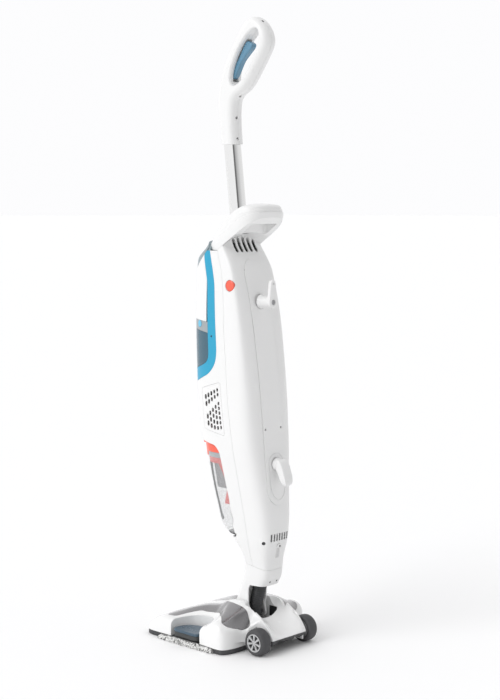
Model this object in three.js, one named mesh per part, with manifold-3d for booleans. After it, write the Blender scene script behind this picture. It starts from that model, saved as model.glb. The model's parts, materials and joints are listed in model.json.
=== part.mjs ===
// Upright vacuum and steam mop, standing on its floor head.
// Millimetres, +Z up, front of the machine towards -Y, its left side towards +X.
// The origin is on the floor, under the middle of the machine.
import * as THREE from 'three';
import { mergeVertices } from 'three/addons/utils/BufferGeometryUtils.js';
import Module from 'manifold-3d';

const wasm = await Module();
wasm.setup();

// ---------------------------------------------------------------- driving dimensions
const GAP = 0.3; // clearance between pieces that touch
const WALL = 2.5; // housing wall
const HEAD_FRONT = -143.5;
const HEAD_REAR = 138;
const HEAD_BASE = 10; // lower edge of the white head shell
const PIVOT = { y: 48, z: 55 }; // tilt axis of the upright body, along X
const WHEEL = { x: 66, y: 118, radius: 25.5 };
const TUBE = { radius: 16.2, foot: [9.5, 780], top: [-14.4, 985] }; // [y, z] of its two ends
const GRIP_HALF = 17.75; // half the width of the grip
const CONTAINER = { foot: 214, top: 382 };
const HOOK = { z: 655, post: [65, 88], arm: [88.3, 96] };
const BUTTON = { y: 41, z: 686, radius: 10.5 };
const NECK_SPLIT = [[0, 166], [120, 147]]; // [y, z] of the sloping joint between body and neck

// ---------------------------------------------------------------- materials
function finish(color, roughness, metalness = 0, opacity = 1) {
  return new THREE.MeshStandardMaterial({ color, roughness, metalness, opacity, transparent: opacity < 1 });
}

const WHITE = finish(0xf7f7f6, 0.32);
const SILVER = finish(0xa3a3a4, 0.3, 0.7);
const DARK = finish(0x303234, 0.6);
const TYRE = finish(0x4a4a4c, 0.75);
const HUB = finish(0xb4b5b6, 0.35, 0.5);
const CHROME = finish(0xd8d8d6, 0.12, 1);
const BLUE = finish(0x2ba7cf, 0.35);
const TAB_BLUE = finish(0x41617a, 0.4);
const PALE_BLUE = finish(0x68bcdb, 0.4);
const GREY = finish(0x8e979b, 0.4);
const BAND_GREY = finish(0x9ea4a7, 0.4);
const RED = finish(0xf5685a, 0.4);
const TANK = finish(0x37607a, 0.12, 0, 0.5);
const CLEAR = finish(0xdfe3e4, 0.08, 0, 0.35);
const TRIGGER_BLUE = finish(0x6c97b0, 0.25);
const FILTER = finish(0x9b989b, 0.7);
const CHENILLE = finish(0xc9c9c6, 0.95);
const STEEL = finish(0x8d8f92, 0.35, 0.9);
const METAL_CASE = finish(0xa9abad, 0.4, 0.8);
const BOARD = finish(0x2f6b45, 0.6);
const FOAM = finish(0x55585b, 0.95);

// ---------------------------------------------------------------- solids and booleans
function solid(geometry) {
  const bare = geometry.clone();
  bare.deleteAttribute('normal');
  bare.deleteAttribute('uv');
  const merged = mergeVertices(bare, 1e-4);
  return new wasm.Manifold(new wasm.Mesh({
    numProp: 3,
    vertProperties: new Float32Array(merged.attributes.position.array),
    triVerts: new Uint32Array(merged.index.array),
  }));
}

function geometryOf(body) {
  const mesh = body.getMesh();
  const geometry = new THREE.BufferGeometry();
  geometry.setAttribute('position', new THREE.BufferAttribute(new Float32Array(mesh.vertProperties), 3));
  geometry.setIndex(new THREE.BufferAttribute(new Uint32Array(mesh.triVerts), 1));
  return geometry;
}

const group = new THREE.Group();

function add(name, shape, material) {
  const geometry = shape.isBufferGeometry ? shape : geometryOf(shape);
  geometry.computeVertexNormals();
  const mesh = new THREE.Mesh(geometry, material);
  mesh.name = name;
  group.add(mesh);
}

function joined(...bodies) {
  return bodies.reduce((whole, body) => whole.add(body));
}

function mirrored(body) {
  return body.mirror([1, 0, 0]);
}

// A smooth function through [position, value] points that never overshoots them.
function curve(points) {
  const at = points.map((point) => point[0]);
  const value = points.map((point) => point[1]);
  const last = points.length - 1;
  const slope = at.slice(1).map((end, i) => (value[i + 1] - value[i]) / (end - at[i]));
  const tangent = at.map((_, i) => {
    if (i === 0 || i === last) return slope[Math.min(i, last - 1)];
    if (slope[i - 1] * slope[i] <= 0) return 0;
    return (2 * slope[i - 1] * slope[i]) / (slope[i - 1] + slope[i]);
  });
  return (position) => {
    if (position <= at[0]) return value[0];
    if (position >= at[last]) return value[last];
    const i = at.findIndex((end) => end > position) - 1;
    const step = at[i + 1] - at[i];
    const t = (position - at[i]) / step;
    const back = (1 - t) ** 2;
    return value[i] * (1 + 2 * t) * back + value[i + 1] * t * t * (3 - 2 * t)
      + step * tangent[i] * t * back - step * tangent[i + 1] * t * t * (1 - t);
  };
}

// A closed skin over rings of equal point count, capped flat at both ends.
function loft(rings) {
  const count = rings[0].length;
  const points = rings.flat();
  const index = [];
  for (let r = 0; r < rings.length - 1; r += 1) {
    for (let i = 0; i < count; i += 1) {
      const a = r * count + i;
      const b = r * count + ((i + 1) % count);
      index.push(a, b, b + count, a, b + count, a + count);
    }
  }
  const box = new THREE.Box3().setFromPoints(rings[0]).getSize(new THREE.Vector3()).toArray();
  const keep = [0, 1, 2].filter((axis) => axis !== box.indexOf(Math.min(...box)));
  const area = (polygon) => THREE.ShapeUtils.area(polygon);
  [0, rings.length - 1].forEach((r) => {
    const flat = rings[r].map((p) => new THREE.Vector2(p.getComponent(keep[0]), p.getComponent(keep[1])));
    const outline = area(flat);
    THREE.ShapeUtils.triangulateShape(flat.map((p) => p.clone()), []).forEach((face) => {
      const same = area(face.map((i) => flat[i])) * outline > 0;
      const wanted = r === 0 ? !same : same;
      const corners = wanted ? face : [face[0], face[2], face[1]];
      index.push(...corners.map((i) => r * count + i));
    });
  });
  let volume = 0;
  for (let i = 0; i < index.length; i += 3) {
    const [a, b, c] = [points[index[i]], points[index[i + 1]], points[index[i + 2]]];
    volume += a.dot(b.clone().cross(c));
  }
  if (volume < 0) index.reverse();
  const geometry = new THREE.BufferGeometry();
  geometry.setAttribute('position', new THREE.Float32BufferAttribute(points.flatMap((p) => p.toArray()), 3));
  geometry.setIndex(index);
  return solid(geometry);
}

function outline(points) {
  return new THREE.Shape(points.map(([u, v]) => new THREE.Vector2(u, v)));
}

// The same outline, grown outwards by a distance, or shrunk by a negative one.
function grown(points, distance) {
  const area = THREE.ShapeUtils.area(points.map(([u, v]) => new THREE.Vector2(u, v)));
  const out = area > 0 ? distance : -distance;
  return points.map(([u, v], i) => {
    const [before, after] = [points.at(i - 1), points[(i + 1) % points.length]];
    const into = new THREE.Vector2(u - before[0], v - before[1]).normalize();
    const away = new THREE.Vector2(after[0] - u, after[1] - v).normalize();
    const normal = new THREE.Vector2(into.y + away.y, -into.x - away.x).normalize();
    const reach = out / Math.max(0.5, normal.dot(new THREE.Vector2(into.y, -into.x)));
    return [u + normal.x * reach, v + normal.y * reach];
  });
}

function extruded(shape, depth, bevel = 0, curveSegments = 8) {
  return new THREE.ExtrudeGeometry(shape, {
    depth: depth - 2 * bevel,
    bevelEnabled: bevel > 0,
    bevelThickness: bevel,
    bevelSize: bevel,
    bevelOffset: -bevel,
    bevelSegments: 1,
    curveSegments,
  }).translate(0, 0, bevel);
}

// Prisms over an outline drawn in the plan (x, y), from the side (y, z) or from the front (x, z).
function planPrism(shape, low, high, bevel = 0, segments = 8) {
  return solid(extruded(shape, high - low, bevel, segments).translate(0, 0, low));
}

function sidePrism(shape, low, high, bevel = 0, segments = 8) {
  const turn = new THREE.Matrix4().makeBasis(
    new THREE.Vector3(0, 1, 0), new THREE.Vector3(0, 0, 1), new THREE.Vector3(1, 0, 0));
  return solid(extruded(shape, high - low, bevel, segments).applyMatrix4(turn).translate(low, 0, 0));
}

function frontPrism(shape, low, high, bevel = 0, segments = 8) {
  const turn = new THREE.Matrix4().makeBasis(
    new THREE.Vector3(1, 0, 0), new THREE.Vector3(0, 0, 1), new THREE.Vector3(0, -1, 0));
  return solid(extruded(shape, high - low, bevel, segments).applyMatrix4(turn).translate(0, high, 0));
}

function box(x, y, z) {
  const size = [x[1] - x[0], y[1] - y[0], z[1] - z[0]];
  const block = new THREE.BoxGeometry(...size);
  return solid(block.translate((x[0] + x[1]) / 2, (y[0] + y[1]) / 2, (z[0] + z[1]) / 2));
}

// A round bar between two points.
function bar(from, to, radius, sides = 20, endRadius = radius) {
  const [a, b] = [new THREE.Vector3(...from), new THREE.Vector3(...to)];
  const way = b.clone().sub(a);
  const rod = new THREE.CylinderGeometry(endRadius, radius, way.length(), sides);
  rod.applyQuaternion(new THREE.Quaternion().setFromUnitVectors(new THREE.Vector3(0, 1, 0), way.normalize()));
  const middle = a.add(b).multiplyScalar(0.5);
  return solid(rod.translate(middle.x, middle.y, middle.z));
}

// A turned piece about an axis along X, from [distance along X, radius] points.
function turnedX(profile, at, sides = 24) {
  const lathe = new THREE.LatheGeometry(profile.map(([x, r]) => new THREE.Vector2(r, x)), sides);
  return solid(lathe.rotateZ(-Math.PI / 2).translate(at[0], at[1], at[2]));
}

// ---------------------------------------------------------------- body envelope
const bodyHalf = curve([[66, 25.5], [100, 26.5], [150, 28], [166, 30], [200, 36], [230, 40], [275, 46], [330, 53],
  [390, 60], [470, 62], [600, 61], [700, 58], [762, 53], [800, 50]]);
const bodySeam = curve([[66, 38], [100, 50], [150, 70], [183, 66], [252, 61], [297, 56], [364, 49], [424, 42],
  [472, 36], [540, 31], [611, 25], [659, 23], [709, 17], [750, 3], [800, -6]]);
const bodyFront = curve([[66, 11], [78, 16], [101, 26], [130, 37], [157, 43], [177, 36], [204, 14], [240, -20],
  [330, -48], [391, -57], [424, -61], [462, -65], [503, -68], [606, -71], [718, -68.5], [731, -67], [762, -35],
  [800, -20]]);
const bodyRear = curve([[66, 59], [99, 76], [114, 90], [138, 102], [165, 104], [192, 109], [216, 113], [241, 113],
  [275, 110], [314, 106], [390, 97], [467, 89.5], [570, 75.5], [635, 64.5], [695, 50], [718, 43], [737, 32.5],
  [762, 16], [800, 4]]);
const BODY_LEVELS = [66, 80, 99, 116, 138, 157, 170, 187, 204, 225, 255, 297, 345, 391, 435, 503, 570, 640, 690, 718,
  731, 748, 766, 800];
const RING_POINTS = 20;

function bodyRing(z, inset) {
  const half = bodyHalf(z) - inset;
  const seam = bodySeam(z);
  const ring = [];
  for (let i = 0; i < RING_POINTS; i += 1) {
    const turn = (2 * Math.PI * i) / RING_POINTS;
    const [c, s] = [Math.cos(turn), Math.sin(turn)];
    const power = 2 / (s > 0 ? 5 : 4);
    const reach = s > 0 ? bodyRear(z) - inset - seam : seam - bodyFront(z) - inset;
    ring.push(new THREE.Vector3(
      half * Math.sign(c) * Math.abs(c) ** power, seam + reach * Math.sign(s) * Math.abs(s) ** power, z));
  }
  return ring;
}

function envelope(inset, low = 66, high = 800) {
  const levels = BODY_LEVELS.filter((z) => z > low && z < high);
  return loft([low, ...levels, high].map((z) => bodyRing(z, inset)));
}

const outer = envelope(0);
const inner = envelope(WALL);
const skin = outer.subtract(inner);

// Side-view outlines, as [y, z].
const FAR = 200;
const seamLine = BODY_LEVELS.map((z) => [bodySeam(z), z]);
const rearOfSeam = (shift) => outline([
  ...seamLine.map(([y, z]) => [y + shift, z]), [seamLine.at(-1)[0] + shift, 900], [FAR, 900], [FAR, 66]]);
const frontOfSeam = (shift) => outline([
  ...seamLine.map(([y, z]) => [y - shift, z]), [seamLine.at(-1)[0] - shift, 900], [-FAR, 900], [-FAR, 66]]);
const aboveNeck = (shift) => outline([
  [-FAR, NECK_SPLIT[0][1] + shift], [0, NECK_SPLIT[0][1] + shift], [120, NECK_SPLIT[1][1] + shift],
  [FAR, NECK_SPLIT[1][1] + shift], [FAR, 900], [-FAR, 900]]);
// The underside of the carry handle, which the housings end under.
const hoodArch = curve([[-8, 0], [10, 18], [26, 18], [46, 0]]);
const hoodFloor = (x, y) => 750 + Math.max(0, 0.69 * (y - 1)) + hoodArch(y) * Math.max(0, 1 - (x / 53) ** 2);

function aboveHoodFloor(shift) {
  const across = [-95, -53, -42, -30, -16, 0, 16, 30, 42, 53, 95];
  return loft([-120, -20, -8, 1, 10, 26, 36, 46, 130].map((y) => [
    ...across.map((x) => new THREE.Vector3(x, y, hoodFloor(x, y) + shift)),
    new THREE.Vector3(95, y, 900), new THREE.Vector3(-95, y, 900)]));
}
const hoodSpace = aboveHoodFloor(-GAP);
const blueOuter = [[-18, 900], [-18, 752], [-8, 720], [-1, 692], [3, 620], [7, 562], [5, 544], [-2, 530], [-15, 517],
  [-46, 503], [-100, 481]];
const blueInner = [[-33, 900], [-33, 742], [-20, 691], [-17, 593], [-15, 552], [-18, 542], [-27, 535], [-46, 528],
  [-100, 510]];
const aheadOf = (line, shift) => outline([
  ...line.map(([y, z], i) => [y - shift, i > line.length / 2 ? z + shift : z]), [-FAR, line.at(-1)[1] + shift],
  [-FAR, 900]]);
const panelLine = [[-21.5, 900], [-21.5, 755], [-55, 718], [-100, 668]];
const panelZone = (shift) => outline([...panelLine.map(([y, z]) => [y, z + shift]), [-FAR, 900]]);
const whole = 90; // half width that covers the body

const housing = skin
  .intersect(sidePrism(aboveNeck(GAP / 2), -whole, whole))
  .subtract(hoodSpace);

// ---------------------------------------------------------------- dust container envelope
const containerHalf = curve([[208, 30], [228, 35.5], [265, 40.5], [305, 45.5], [345, 49.5], [400, 51]]);
const containerFront = curve([[208, -2], [214, -12], [228, -24], [265, -34], [305, -43], [353, -51], [400, -58]]);
const containerRear = curve([[208, 62], [300, 52], [400, 36]]);

function containerRing(z, inset, sides = 24) {
  const middle = (containerFront(z) + containerRear(z)) / 2;
  const half = containerHalf(z) - inset;
  const reach = (containerRear(z) - containerFront(z)) / 2 - inset;
  const ring = [];
  for (let i = 0; i < sides; i += 1) {
    const turn = (2 * Math.PI * i) / sides;
    const [c, s] = [Math.cos(turn), Math.sin(turn)];
    ring.push(new THREE.Vector3(
      half * Math.sign(c) * Math.abs(c) ** 0.8, middle + reach * Math.sign(s) * Math.abs(s) ** 0.8, z));
  }
  return ring;
}

function containerLoft(inset, low, high) {
  const levels = [222, 240, 275, 325].filter((z) => z > low + 2 && z < high - 2);
  return loft([low, ...levels, high].map((z) => containerRing(z, inset)));
}

const containerHole = containerLoft(-1.2, CONTAINER.foot - 4, CONTAINER.top + 8.5);

// ---------------------------------------------------------------- body shells
const lowerVents = [-3, -2, -1, 0, 1, 2, 3].map((i) => box([i * 7 - 1.8, i * 7 + 1.8], [90, 130], [203, 217]));
const topVents = [-3, -2, -1, 0, 1, 2, 3].map((i) => (
  box([i * 8 - 2.4, i * 8 + 2.4], [4, 60], [752, hoodFloor(i * 8 + 2.4, 12) - 4])));
const panelRecess = outline([[-27, 640], [-27, 708], [-22, 722], [-12, 731], [0, 734], [12, 731], [22, 722], [27, 708],
  [27, 640], [27, 300], [22, 285], [12, 276], [0, 273], [-12, 276], [-22, 285], [-27, 300]]);
const screwHoles = [[23, 714], [-23, 714], [21, 418], [-21, 418]];

const rearShellBlank = housing.intersect(sidePrism(rearOfSeam(GAP / 2), -whole, whole));
const buttonHole = bar([40, BUTTON.y, BUTTON.z], [80, BUTTON.y, BUTTON.z], BUTTON.radius + GAP, 24);
let rearShell = rearShellBlank.subtract(buttonHole);
[...lowerVents, ...topVents].forEach((slot) => { rearShell = rearShell.subtract(slot); });
screwHoles.forEach(([x, z]) => { rearShell = rearShell.subtract(bar([x, 20, z], [x, 130, z], 2.2, 10)); });
rearShell = rearShell.subtract(bar([0, 100, 196], [0, 130, 196], 6.4, 16));
rearShell = rearShell.subtract(bar([0, 40, HOOK.z], [0, 90, HOOK.z], 5.4, 16));
add('rear_shell', rearShell, WHITE);

const grilleOutline = [[-34, 489], [16, 504], [27, 403], [-30, 412]];
const grilleZone = (grow) => outline(grown(grilleOutline, grow));

const frontShell = housing
  .intersect(sidePrism(frontOfSeam(GAP / 2), -whole, whole))
  .subtract(sidePrism(aheadOf(blueOuter, 0), -whole, whole))
  .subtract(containerHole)
  .subtract(sidePrism(outline([[-90, 386], [-40, 386], [-4, 380], [7, 368], [34, 216], [30, 209], [-90, 209]]),
    -whole, whole))
  .subtract(sidePrism(grilleZone(GAP), -whole, whole));
add('front_shell', frontShell, WHITE);

// Side grilles: five columns of slots, one slot shorter for each column nearer the front.
function grilleSlots() {
  const columns = 5;
  const slots = [];
  for (let c = 0; c < columns; c += 1) {
    const t = c / (columns - 1);
    const pitch = THREE.MathUtils.lerp(13, 9, t);
    const high = THREE.MathUtils.lerp(4.2, 2.8, t);
    const wide = THREE.MathUtils.lerp(2.4, 1.9, t);
    for (let row = 0; row < c + 4; row += 1) {
      const gap = row > 1 ? pitch * 0.85 : 0;
      const z = THREE.MathUtils.lerp(473, 489, t) - row * pitch - gap;
      const y = THREE.MathUtils.lerp(-25, 9, t) + (489 - z) * 0.13;
      slots.push(sidePrism(outline([[y - wide, z], [y, z - high], [y + wide, z], [y, z + high]]), 30, whole));
    }
  }
  return slots;
}
const grilleSkin = outer.subtract(envelope(2)).intersect(sidePrism(grilleZone(0), 20, whole));
const grille = grilleSlots().reduce((plate, slot) => plate.subtract(slot), grilleSkin);
add('side_grille_left', grille, WHITE);
add('side_grille_right', mirrored(grille), WHITE);

// ---------------------------------------------------------------- front assembly
const frontBand = outer.intersect(sidePrism(aheadOf(blueOuter, GAP), -whole, whole)).subtract(hoodSpace);
const deepSkin = outer.subtract(envelope(4, 400, 799));
const blueFrame = frontBand.intersect(deepSkin)
  .subtract(sidePrism(aheadOf(blueInner, 0), -whole, whole))
  .subtract(sidePrism(panelZone(-GAP), -whole, whole));
add('blue_frame', blueFrame, BLUE);

const panelFloor = sidePrism(outline([...panelLine.map(([y, z]) => [y, z]), [-FAR, 900]]), -whole, whole);
const controlPanel = outer.intersect(panelFloor)
  .intersect(sidePrism(outline([[-FAR, 0], [-22, 0], [-22, 761], [-26, 764], [-FAR, 900]]), -whole, whole))
  .subtract(envelope(12, 600, 790).intersect(box([-whole, whole], [-50, 40], [600, 756])));
add('control_panel', controlPanel, GREY);

const frontCentre = frontBand.intersect(sidePrism(aheadOf(blueInner, GAP), -whole, whole));
const underPanel = sidePrism(outline([[-21.5, 0], [-21.5, 754.6], [-55, 717.6], [-100, 667.6], [-FAR, 600],
  [-FAR, 0]]), -whole, whole);
const bandHigh = [[-FAR, 626], [-56, 619], [0, 614], [FAR, 600]];
const bandLow = [[-FAR, 606], [-52, 600], [0, 592], [FAR, 580]];
const above = (line, shift) => outline([...line.map(([y, z]) => [y, z + shift]), [FAR, 900], [-FAR, 900]]);
const under = (line, shift) => outline([...line.map(([y, z]) => [y, z - shift]), [FAR, 0], [-FAR, 0]]);
const buttonAt = { y: -78, z: 610 };
const releaseShape = (grow) => {
  const oval = new THREE.Shape();
  oval.absellipse(0, buttonAt.z, 17 + grow, 6 + grow, 0, 2 * Math.PI);
  return oval;
};
const coverSkin = frontCentre.subtract(envelope(3, 400, 799));
const handleScoop = (grow) => {
  const oval = new THREE.Shape();
  oval.absellipse(0, 665, 30 + grow, 17 + grow, 0, 2 * Math.PI);
  return oval;
};
const scoopPocket = (grow) => frontPrism(handleScoop(grow), -120, -52 + grow, 0, 5);
const tankCover = joined(
  coverSkin.intersect(underPanel).intersect(sidePrism(above(bandHigh, GAP / 2), -whole, whole)),
  outer.intersect(scoopPocket(2.2)))
  .subtract(scoopPocket(0));
add('tank_cover', tankCover, WHITE);

const tankBand = coverSkin
  .intersect(sidePrism(under(bandHigh, GAP / 2), -whole, whole))
  .intersect(sidePrism(above(bandLow, GAP / 2), -whole, whole))
  .subtract(frontPrism(releaseShape(GAP), -120, -40));
add('tank_band', tankBand, BAND_GREY);

const releaseButton = joined(
  outer.intersect(frontPrism(releaseShape(0), -120, -62)),
  box([-6, 6], [-63, -58.5], [606, 614]));
add('tank_release_button', releaseButton, PALE_BLUE);

// The tank: a window flush with the front, and a chamber behind it and behind the band.
const TANK_TOP = 608;
const tankBelow = frontCentre.intersect(sidePrism(under(bandLow, GAP / 2), -whole, whole));
const tankLimits = box([-whole, whole], [-120, -12], [500, TANK_TOP]);
const chamber = envelope(5.4, 480, 760).intersect(tankLimits)
  .intersect(sidePrism(aheadOf(blueInner, 1.2), -whole, whole))
  .subtract(frontPrism(releaseShape(1.4), -130, -56, 0, 5));
const tankHollow = envelope(8, 480, 760).intersect(box([-whole, whole], [-120, -14.5], [538, TANK_TOP - 2.5]))
  .intersect(sidePrism(aheadOf(blueInner, 4), -whole, whole))
  .subtract(frontPrism(releaseShape(4), -130, -53, 0, 5));
const CAP = { x: 24, y: -27 };
const tankMouth = bar([CAP.x, CAP.y, TANK_TOP - 8], [CAP.x, CAP.y, TANK_TOP + 5], 9.5, 18);
add('water_tank', joined(tankBelow.intersect(tankLimits), chamber).subtract(tankHollow).subtract(tankMouth), TANK);
add('tank_cap', joined(
  bar([CAP.x, CAP.y, TANK_TOP - 7], [CAP.x, CAP.y, TANK_TOP + 1], 9.1, 18),
  bar([CAP.x, CAP.y, TANK_TOP + GAP], [CAP.x, CAP.y, TANK_TOP + 4], 11, 18)), DARK);
add('tank_bay', box([-50, 50], [10.5, 13], [520, 716]), DARK);

// ---------------------------------------------------------------- dust container
const cup = containerLoft(0, CONTAINER.foot + 4.3, CONTAINER.top)
  .subtract(containerLoft(1.8, CONTAINER.foot, CONTAINER.top + 5));
add('dust_container', cup, CLEAR);
const lid = joined(
  containerLoft(0.6, CONTAINER.foot, CONTAINER.foot + 4),
  containerLoft(2.4, CONTAINER.foot + 1, CONTAINER.foot + 8));
add('container_lid', lid, CLEAR);
const containerTop = joined(
  containerLoft(0.3, CONTAINER.top + GAP, CONTAINER.top + 2.7),
  bar([0, -6, CONTAINER.top - 38], [0, -6, CONTAINER.top + 2], 34, 28, 40));
add('cyclone_core', joined(
  containerTop,
  bar([0, -2, 300], [0, -2, CONTAINER.top - 30], 12, 20, 12),
  bar([0, -2, 262], [0, -2, 304], 27, 24, 16)), RED);
const filterRing = bar([0, -2, 304.4], [0, -2, 343.6], 28, 24, 31)
  .subtract(bar([0, -2, 300], [0, -2, 350], 12.4, 20, 12.4));
add('mesh_filter', filterRing, FILTER);
const latch = sidePrism(outline([[-60.4, 371], [-64, 392], [-74, 391], [-72, 384], [-66, 350], [-60, 350], [-57.2, 360]]),
  -11, 11, 1.5);
add('container_latch', latch, RED);

// Bay wall behind the container.
const bayWall = containerLoft(-3.4, CONTAINER.foot - 2, CONTAINER.top + 4).subtract(containerHole)
  .intersect(box([-whole, whole], [22, 90], [200, 400]))
  .intersect(envelope(WALL + GAP, 190, 420));
add('container_bay', bayWall, DARK);

// ---------------------------------------------------------------- carry handle
const hoodCrest = curve([[-60, 725], [-26, 762], [4, 795], [30, 818], [49, 829], [62, 833], [80, 832], [100, 826]]);

function hoodRing(scale, level) {
  const middle = 28;
  const ring = [];
  for (let i = 0; i < 26; i += 1) {
    const turn = (2 * Math.PI * i) / 26;
    const [c, s] = [Math.cos(turn), Math.sin(turn)];
    const x = 53.5 * scale * Math.sign(c) * Math.abs(c) ** 0.62;
    const y = middle + (s > 0 ? 65 : 70) * scale * Math.sign(s) * Math.abs(s) ** 0.62;
    const floor = hoodFloor(x, y);
    const crest = hoodCrest(y) + 5 * (1 - (x / 53.5) ** 2);
    ring.push(new THREE.Vector3(x, y, floor + (crest - floor) * level));
  }
  return ring;
}
const hoodLevels = [[0.95, -0.3], [0.98, 0.1], [1, 0.3], [1, 0.66], [0.965, 0.88], [0.88, 0.98], [0.6, 1], [0.3, 1]];
const hoodBlank = loft(hoodLevels.map(([scale, level]) => hoodRing(scale, level))).intersect(aboveHoodFloor(0));
const hoodLimits = sidePrism(outline([[-25.7, 764.5], [-21.2, 760.5], [-18, 756], [-18, 700], [FAR, 700], [FAR, 900],
  [-25.7, 900]]), -whole, whole);
const tubeAt = (z) => {
  const t = (z - TUBE.foot[1]) / (TUBE.top[1] - TUBE.foot[1]);
  return [0, TUBE.foot[0] + t * (TUBE.top[0] - TUBE.foot[0]), z];
};
const socket = bar(tubeAt(TUBE.foot[1] - 0.4), tubeAt(860), TUBE.radius + GAP, 32);
const fingerRecess = sidePrism(outline([[34, 755], [74, 780], [67, 813], [44, 806]]), -35, 35);
add('carry_handle', hoodBlank.intersect(hoodLimits).subtract(socket).subtract(fingerRecess), WHITE);

// ---------------------------------------------------------------- handle tube and grip
const tubeWall = 1.2;
const tubeBlank = bar(tubeAt(TUBE.foot[1]), tubeAt(TUBE.top[1]), TUBE.radius, 32);
const tubeBore = bar(tubeAt(TUBE.foot[1] - 5), tubeAt(TUBE.top[1] + 5), TUBE.radius - tubeWall, 32);
add('handle_tube', tubeBlank.subtract(tubeBore), CHROME);

const gripOutline = [[-29.5, 948], [-33, 985], [-36.5, 1015], [-35, 1045], [-18, 1096], [11, 1143], [32, 1170], [52, 1180],
  [74, 1168], [88, 1146], [88, 1124], [68, 1092], [37, 1052], [13, 1036], [5.5, 1020], [6, 985], [8.4, 948]];
const GRIP_HOLE = { y: 35, z: 1107, half: [20, 58], lean: THREE.MathUtils.degToRad(-33) };

function gripShape() {
  const [start, ...rest] = gripOutline;
  const shape = new THREE.Shape();
  shape.moveTo(...start);
  shape.splineThru(rest.map(([y, z]) => new THREE.Vector2(y, z)));
  shape.closePath();
  const hole = new THREE.Path();
  hole.absellipse(GRIP_HOLE.y, GRIP_HOLE.z, ...GRIP_HOLE.half, 0, 2 * Math.PI, true, GRIP_HOLE.lean);
  return { shape, hole };
}
const { shape: gripOuter, hole: gripInner } = gripShape();
const gripHoleShape = new THREE.Shape(gripInner.getPoints(16));
const gripBore = joined(
  bar(tubeAt(930), tubeAt(TUBE.top[1] + 0.4), TUBE.radius + GAP, 32));
// Pocket in the front strand that the trigger moves in.
const triggerPocket = sidePrism(outline([[-19, 1072], [-7, 1058], [16, 1076], [38, 1126], [34, 1147], [17, 1131]]),
  -7.4, 7.4);
const gripBlank = sidePrism(gripOuter, -GRIP_HALF, GRIP_HALF, 5, 3)
  .subtract(sidePrism(gripHoleShape, -40, 40))
  .subtract(gripBore)
  .subtract(triggerPocket);
const gripHalf = gripBlank.intersect(box([GAP / 2, 60], [-200, 200], [900, 1200]));
add('grip_left', gripHalf, WHITE);
add('grip_right', mirrored(gripHalf), WHITE);
const triggerOutline = outline([[-11, 1073], [-5, 1068], [5, 1076], [22, 1101], [47, 1124], [48, 1132], [33, 1139],
  [26, 1129], [9, 1103], [-9, 1083]]);
add('steam_trigger', sidePrism(triggerOutline, -6.9, 6.9, 1.2), TRIGGER_BLUE);

// ---------------------------------------------------------------- side button, hooks, rear panel
add('side_button', joined(
  bar([50, BUTTON.y, BUTTON.z], [59, BUTTON.y, BUTTON.z], BUTTON.radius, 24, BUTTON.radius - 0.4)), RED);

const panelSkin = envelope(-1.6).subtract(envelope(-GAP))
  .intersect(frontPrism(panelRecess, 20, 130))
  .subtract(bar([0, 40, HOOK.z], [0, 130, HOOK.z], 12.3, 20))
  .subtract(frontPrism(outline([[-14, 364], [14, 364], [14, 326], [-14, 326]]), 60, 130));
let rearPanel = panelSkin;
screwHoles.slice(2).forEach(([x, z]) => {
  rearPanel = rearPanel.subtract(bar([x, 40, z], [x, 130, z], 2.2, 10));
});
add('rear_panel', rearPanel, WHITE);

const hookPost = joined(
  bar([0, HOOK.post[0], HOOK.z], [0, HOOK.post[1], HOOK.z], 12, 24, 9.5),
  bar([0, HOOK.post[0] - 8, HOOK.z], [0, HOOK.post[0] + 2, HOOK.z], 5, 16))
  .subtract(bar([0, HOOK.post[1] - 12, HOOK.z], [0, HOOK.post[1] + 5, HOOK.z], 2.1, 12));
add('hook_post', hookPost.subtract(envelope(-GAP).subtract(bar([0, 30, HOOK.z], [0, 90, HOOK.z], 5.2, 16))), WHITE);
const hookShape = new THREE.Shape();
hookShape.absarc(0, HOOK.z, 11, Math.PI, 2 * Math.PI);
hookShape.lineTo(6.5, HOOK.z + 35);
hookShape.absarc(0, HOOK.z + 35, 6.5, 0, Math.PI);
hookShape.closePath();
const hookArm = frontPrism(hookShape, ...HOOK.arm, 1)
  .subtract(bar([0, 80, HOOK.z], [0, 120, HOOK.z], 2.4, 12))
  .subtract(bar([0, HOOK.arm[1] - 3, HOOK.z], [0, 120, HOOK.z], 5.2, 20));
add('cord_hook_upper', hookArm, WHITE);
add('hook_screw', joined(
  bar([0, HOOK.arm[1] - 2.7, HOOK.z], [0, HOOK.arm[1] + 0.4, HOOK.z], 4.8, 20),
  bar([0, HOOK.post[1] - 8, HOOK.z], [0, HOOK.arm[1] - 2, HOOK.z], 1.8, 12)), STEEL);

const lowerHook = joined(
  bar([0, 104, 351], [0, 116, 351], 12, 24, 11),
  sidePrism(outline([[112, 362], [121, 361], [128, 350], [135, 331], [136.5, 316], [131, 312], [125, 317], [117, 336],
    [112, 341]]), -12, 12, 2));
add('cord_hook_lower', lowerHook.subtract(envelope(-GAP)), WHITE);
add('cord_inlet', joined(
  bar([0, 104, 196], [0, 112.5, 196], 6, 16),
  bar([0, 111.8, 196], [0, 115, 196], 8, 16)).subtract(bar([0, 100, 196], [0, 120, 196], 3.2, 12)), DARK);

function screwAt(x, face, z, depth = 6) {
  return joined(
    bar([x, face - 1.6, z], [x, face, z], 1.9, 10),
    bar([x, face - depth, z], [x, face - 1.5, z], 1.2, 8));
}
const rearFace = (x, z) => {
  const shoulder = (1 - Math.abs(x / bodyHalf(z)) ** 5) ** 0.2;
  return bodySeam(z) + (bodyRear(z) - bodySeam(z)) * shoulder;
};
[['panel_screw_left', 23], ['panel_screw_right', -23]].forEach(([name, x]) => {
  add(name, screwAt(x, rearFace(x, 714) - 0.8, 714), STEEL);
});

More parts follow.
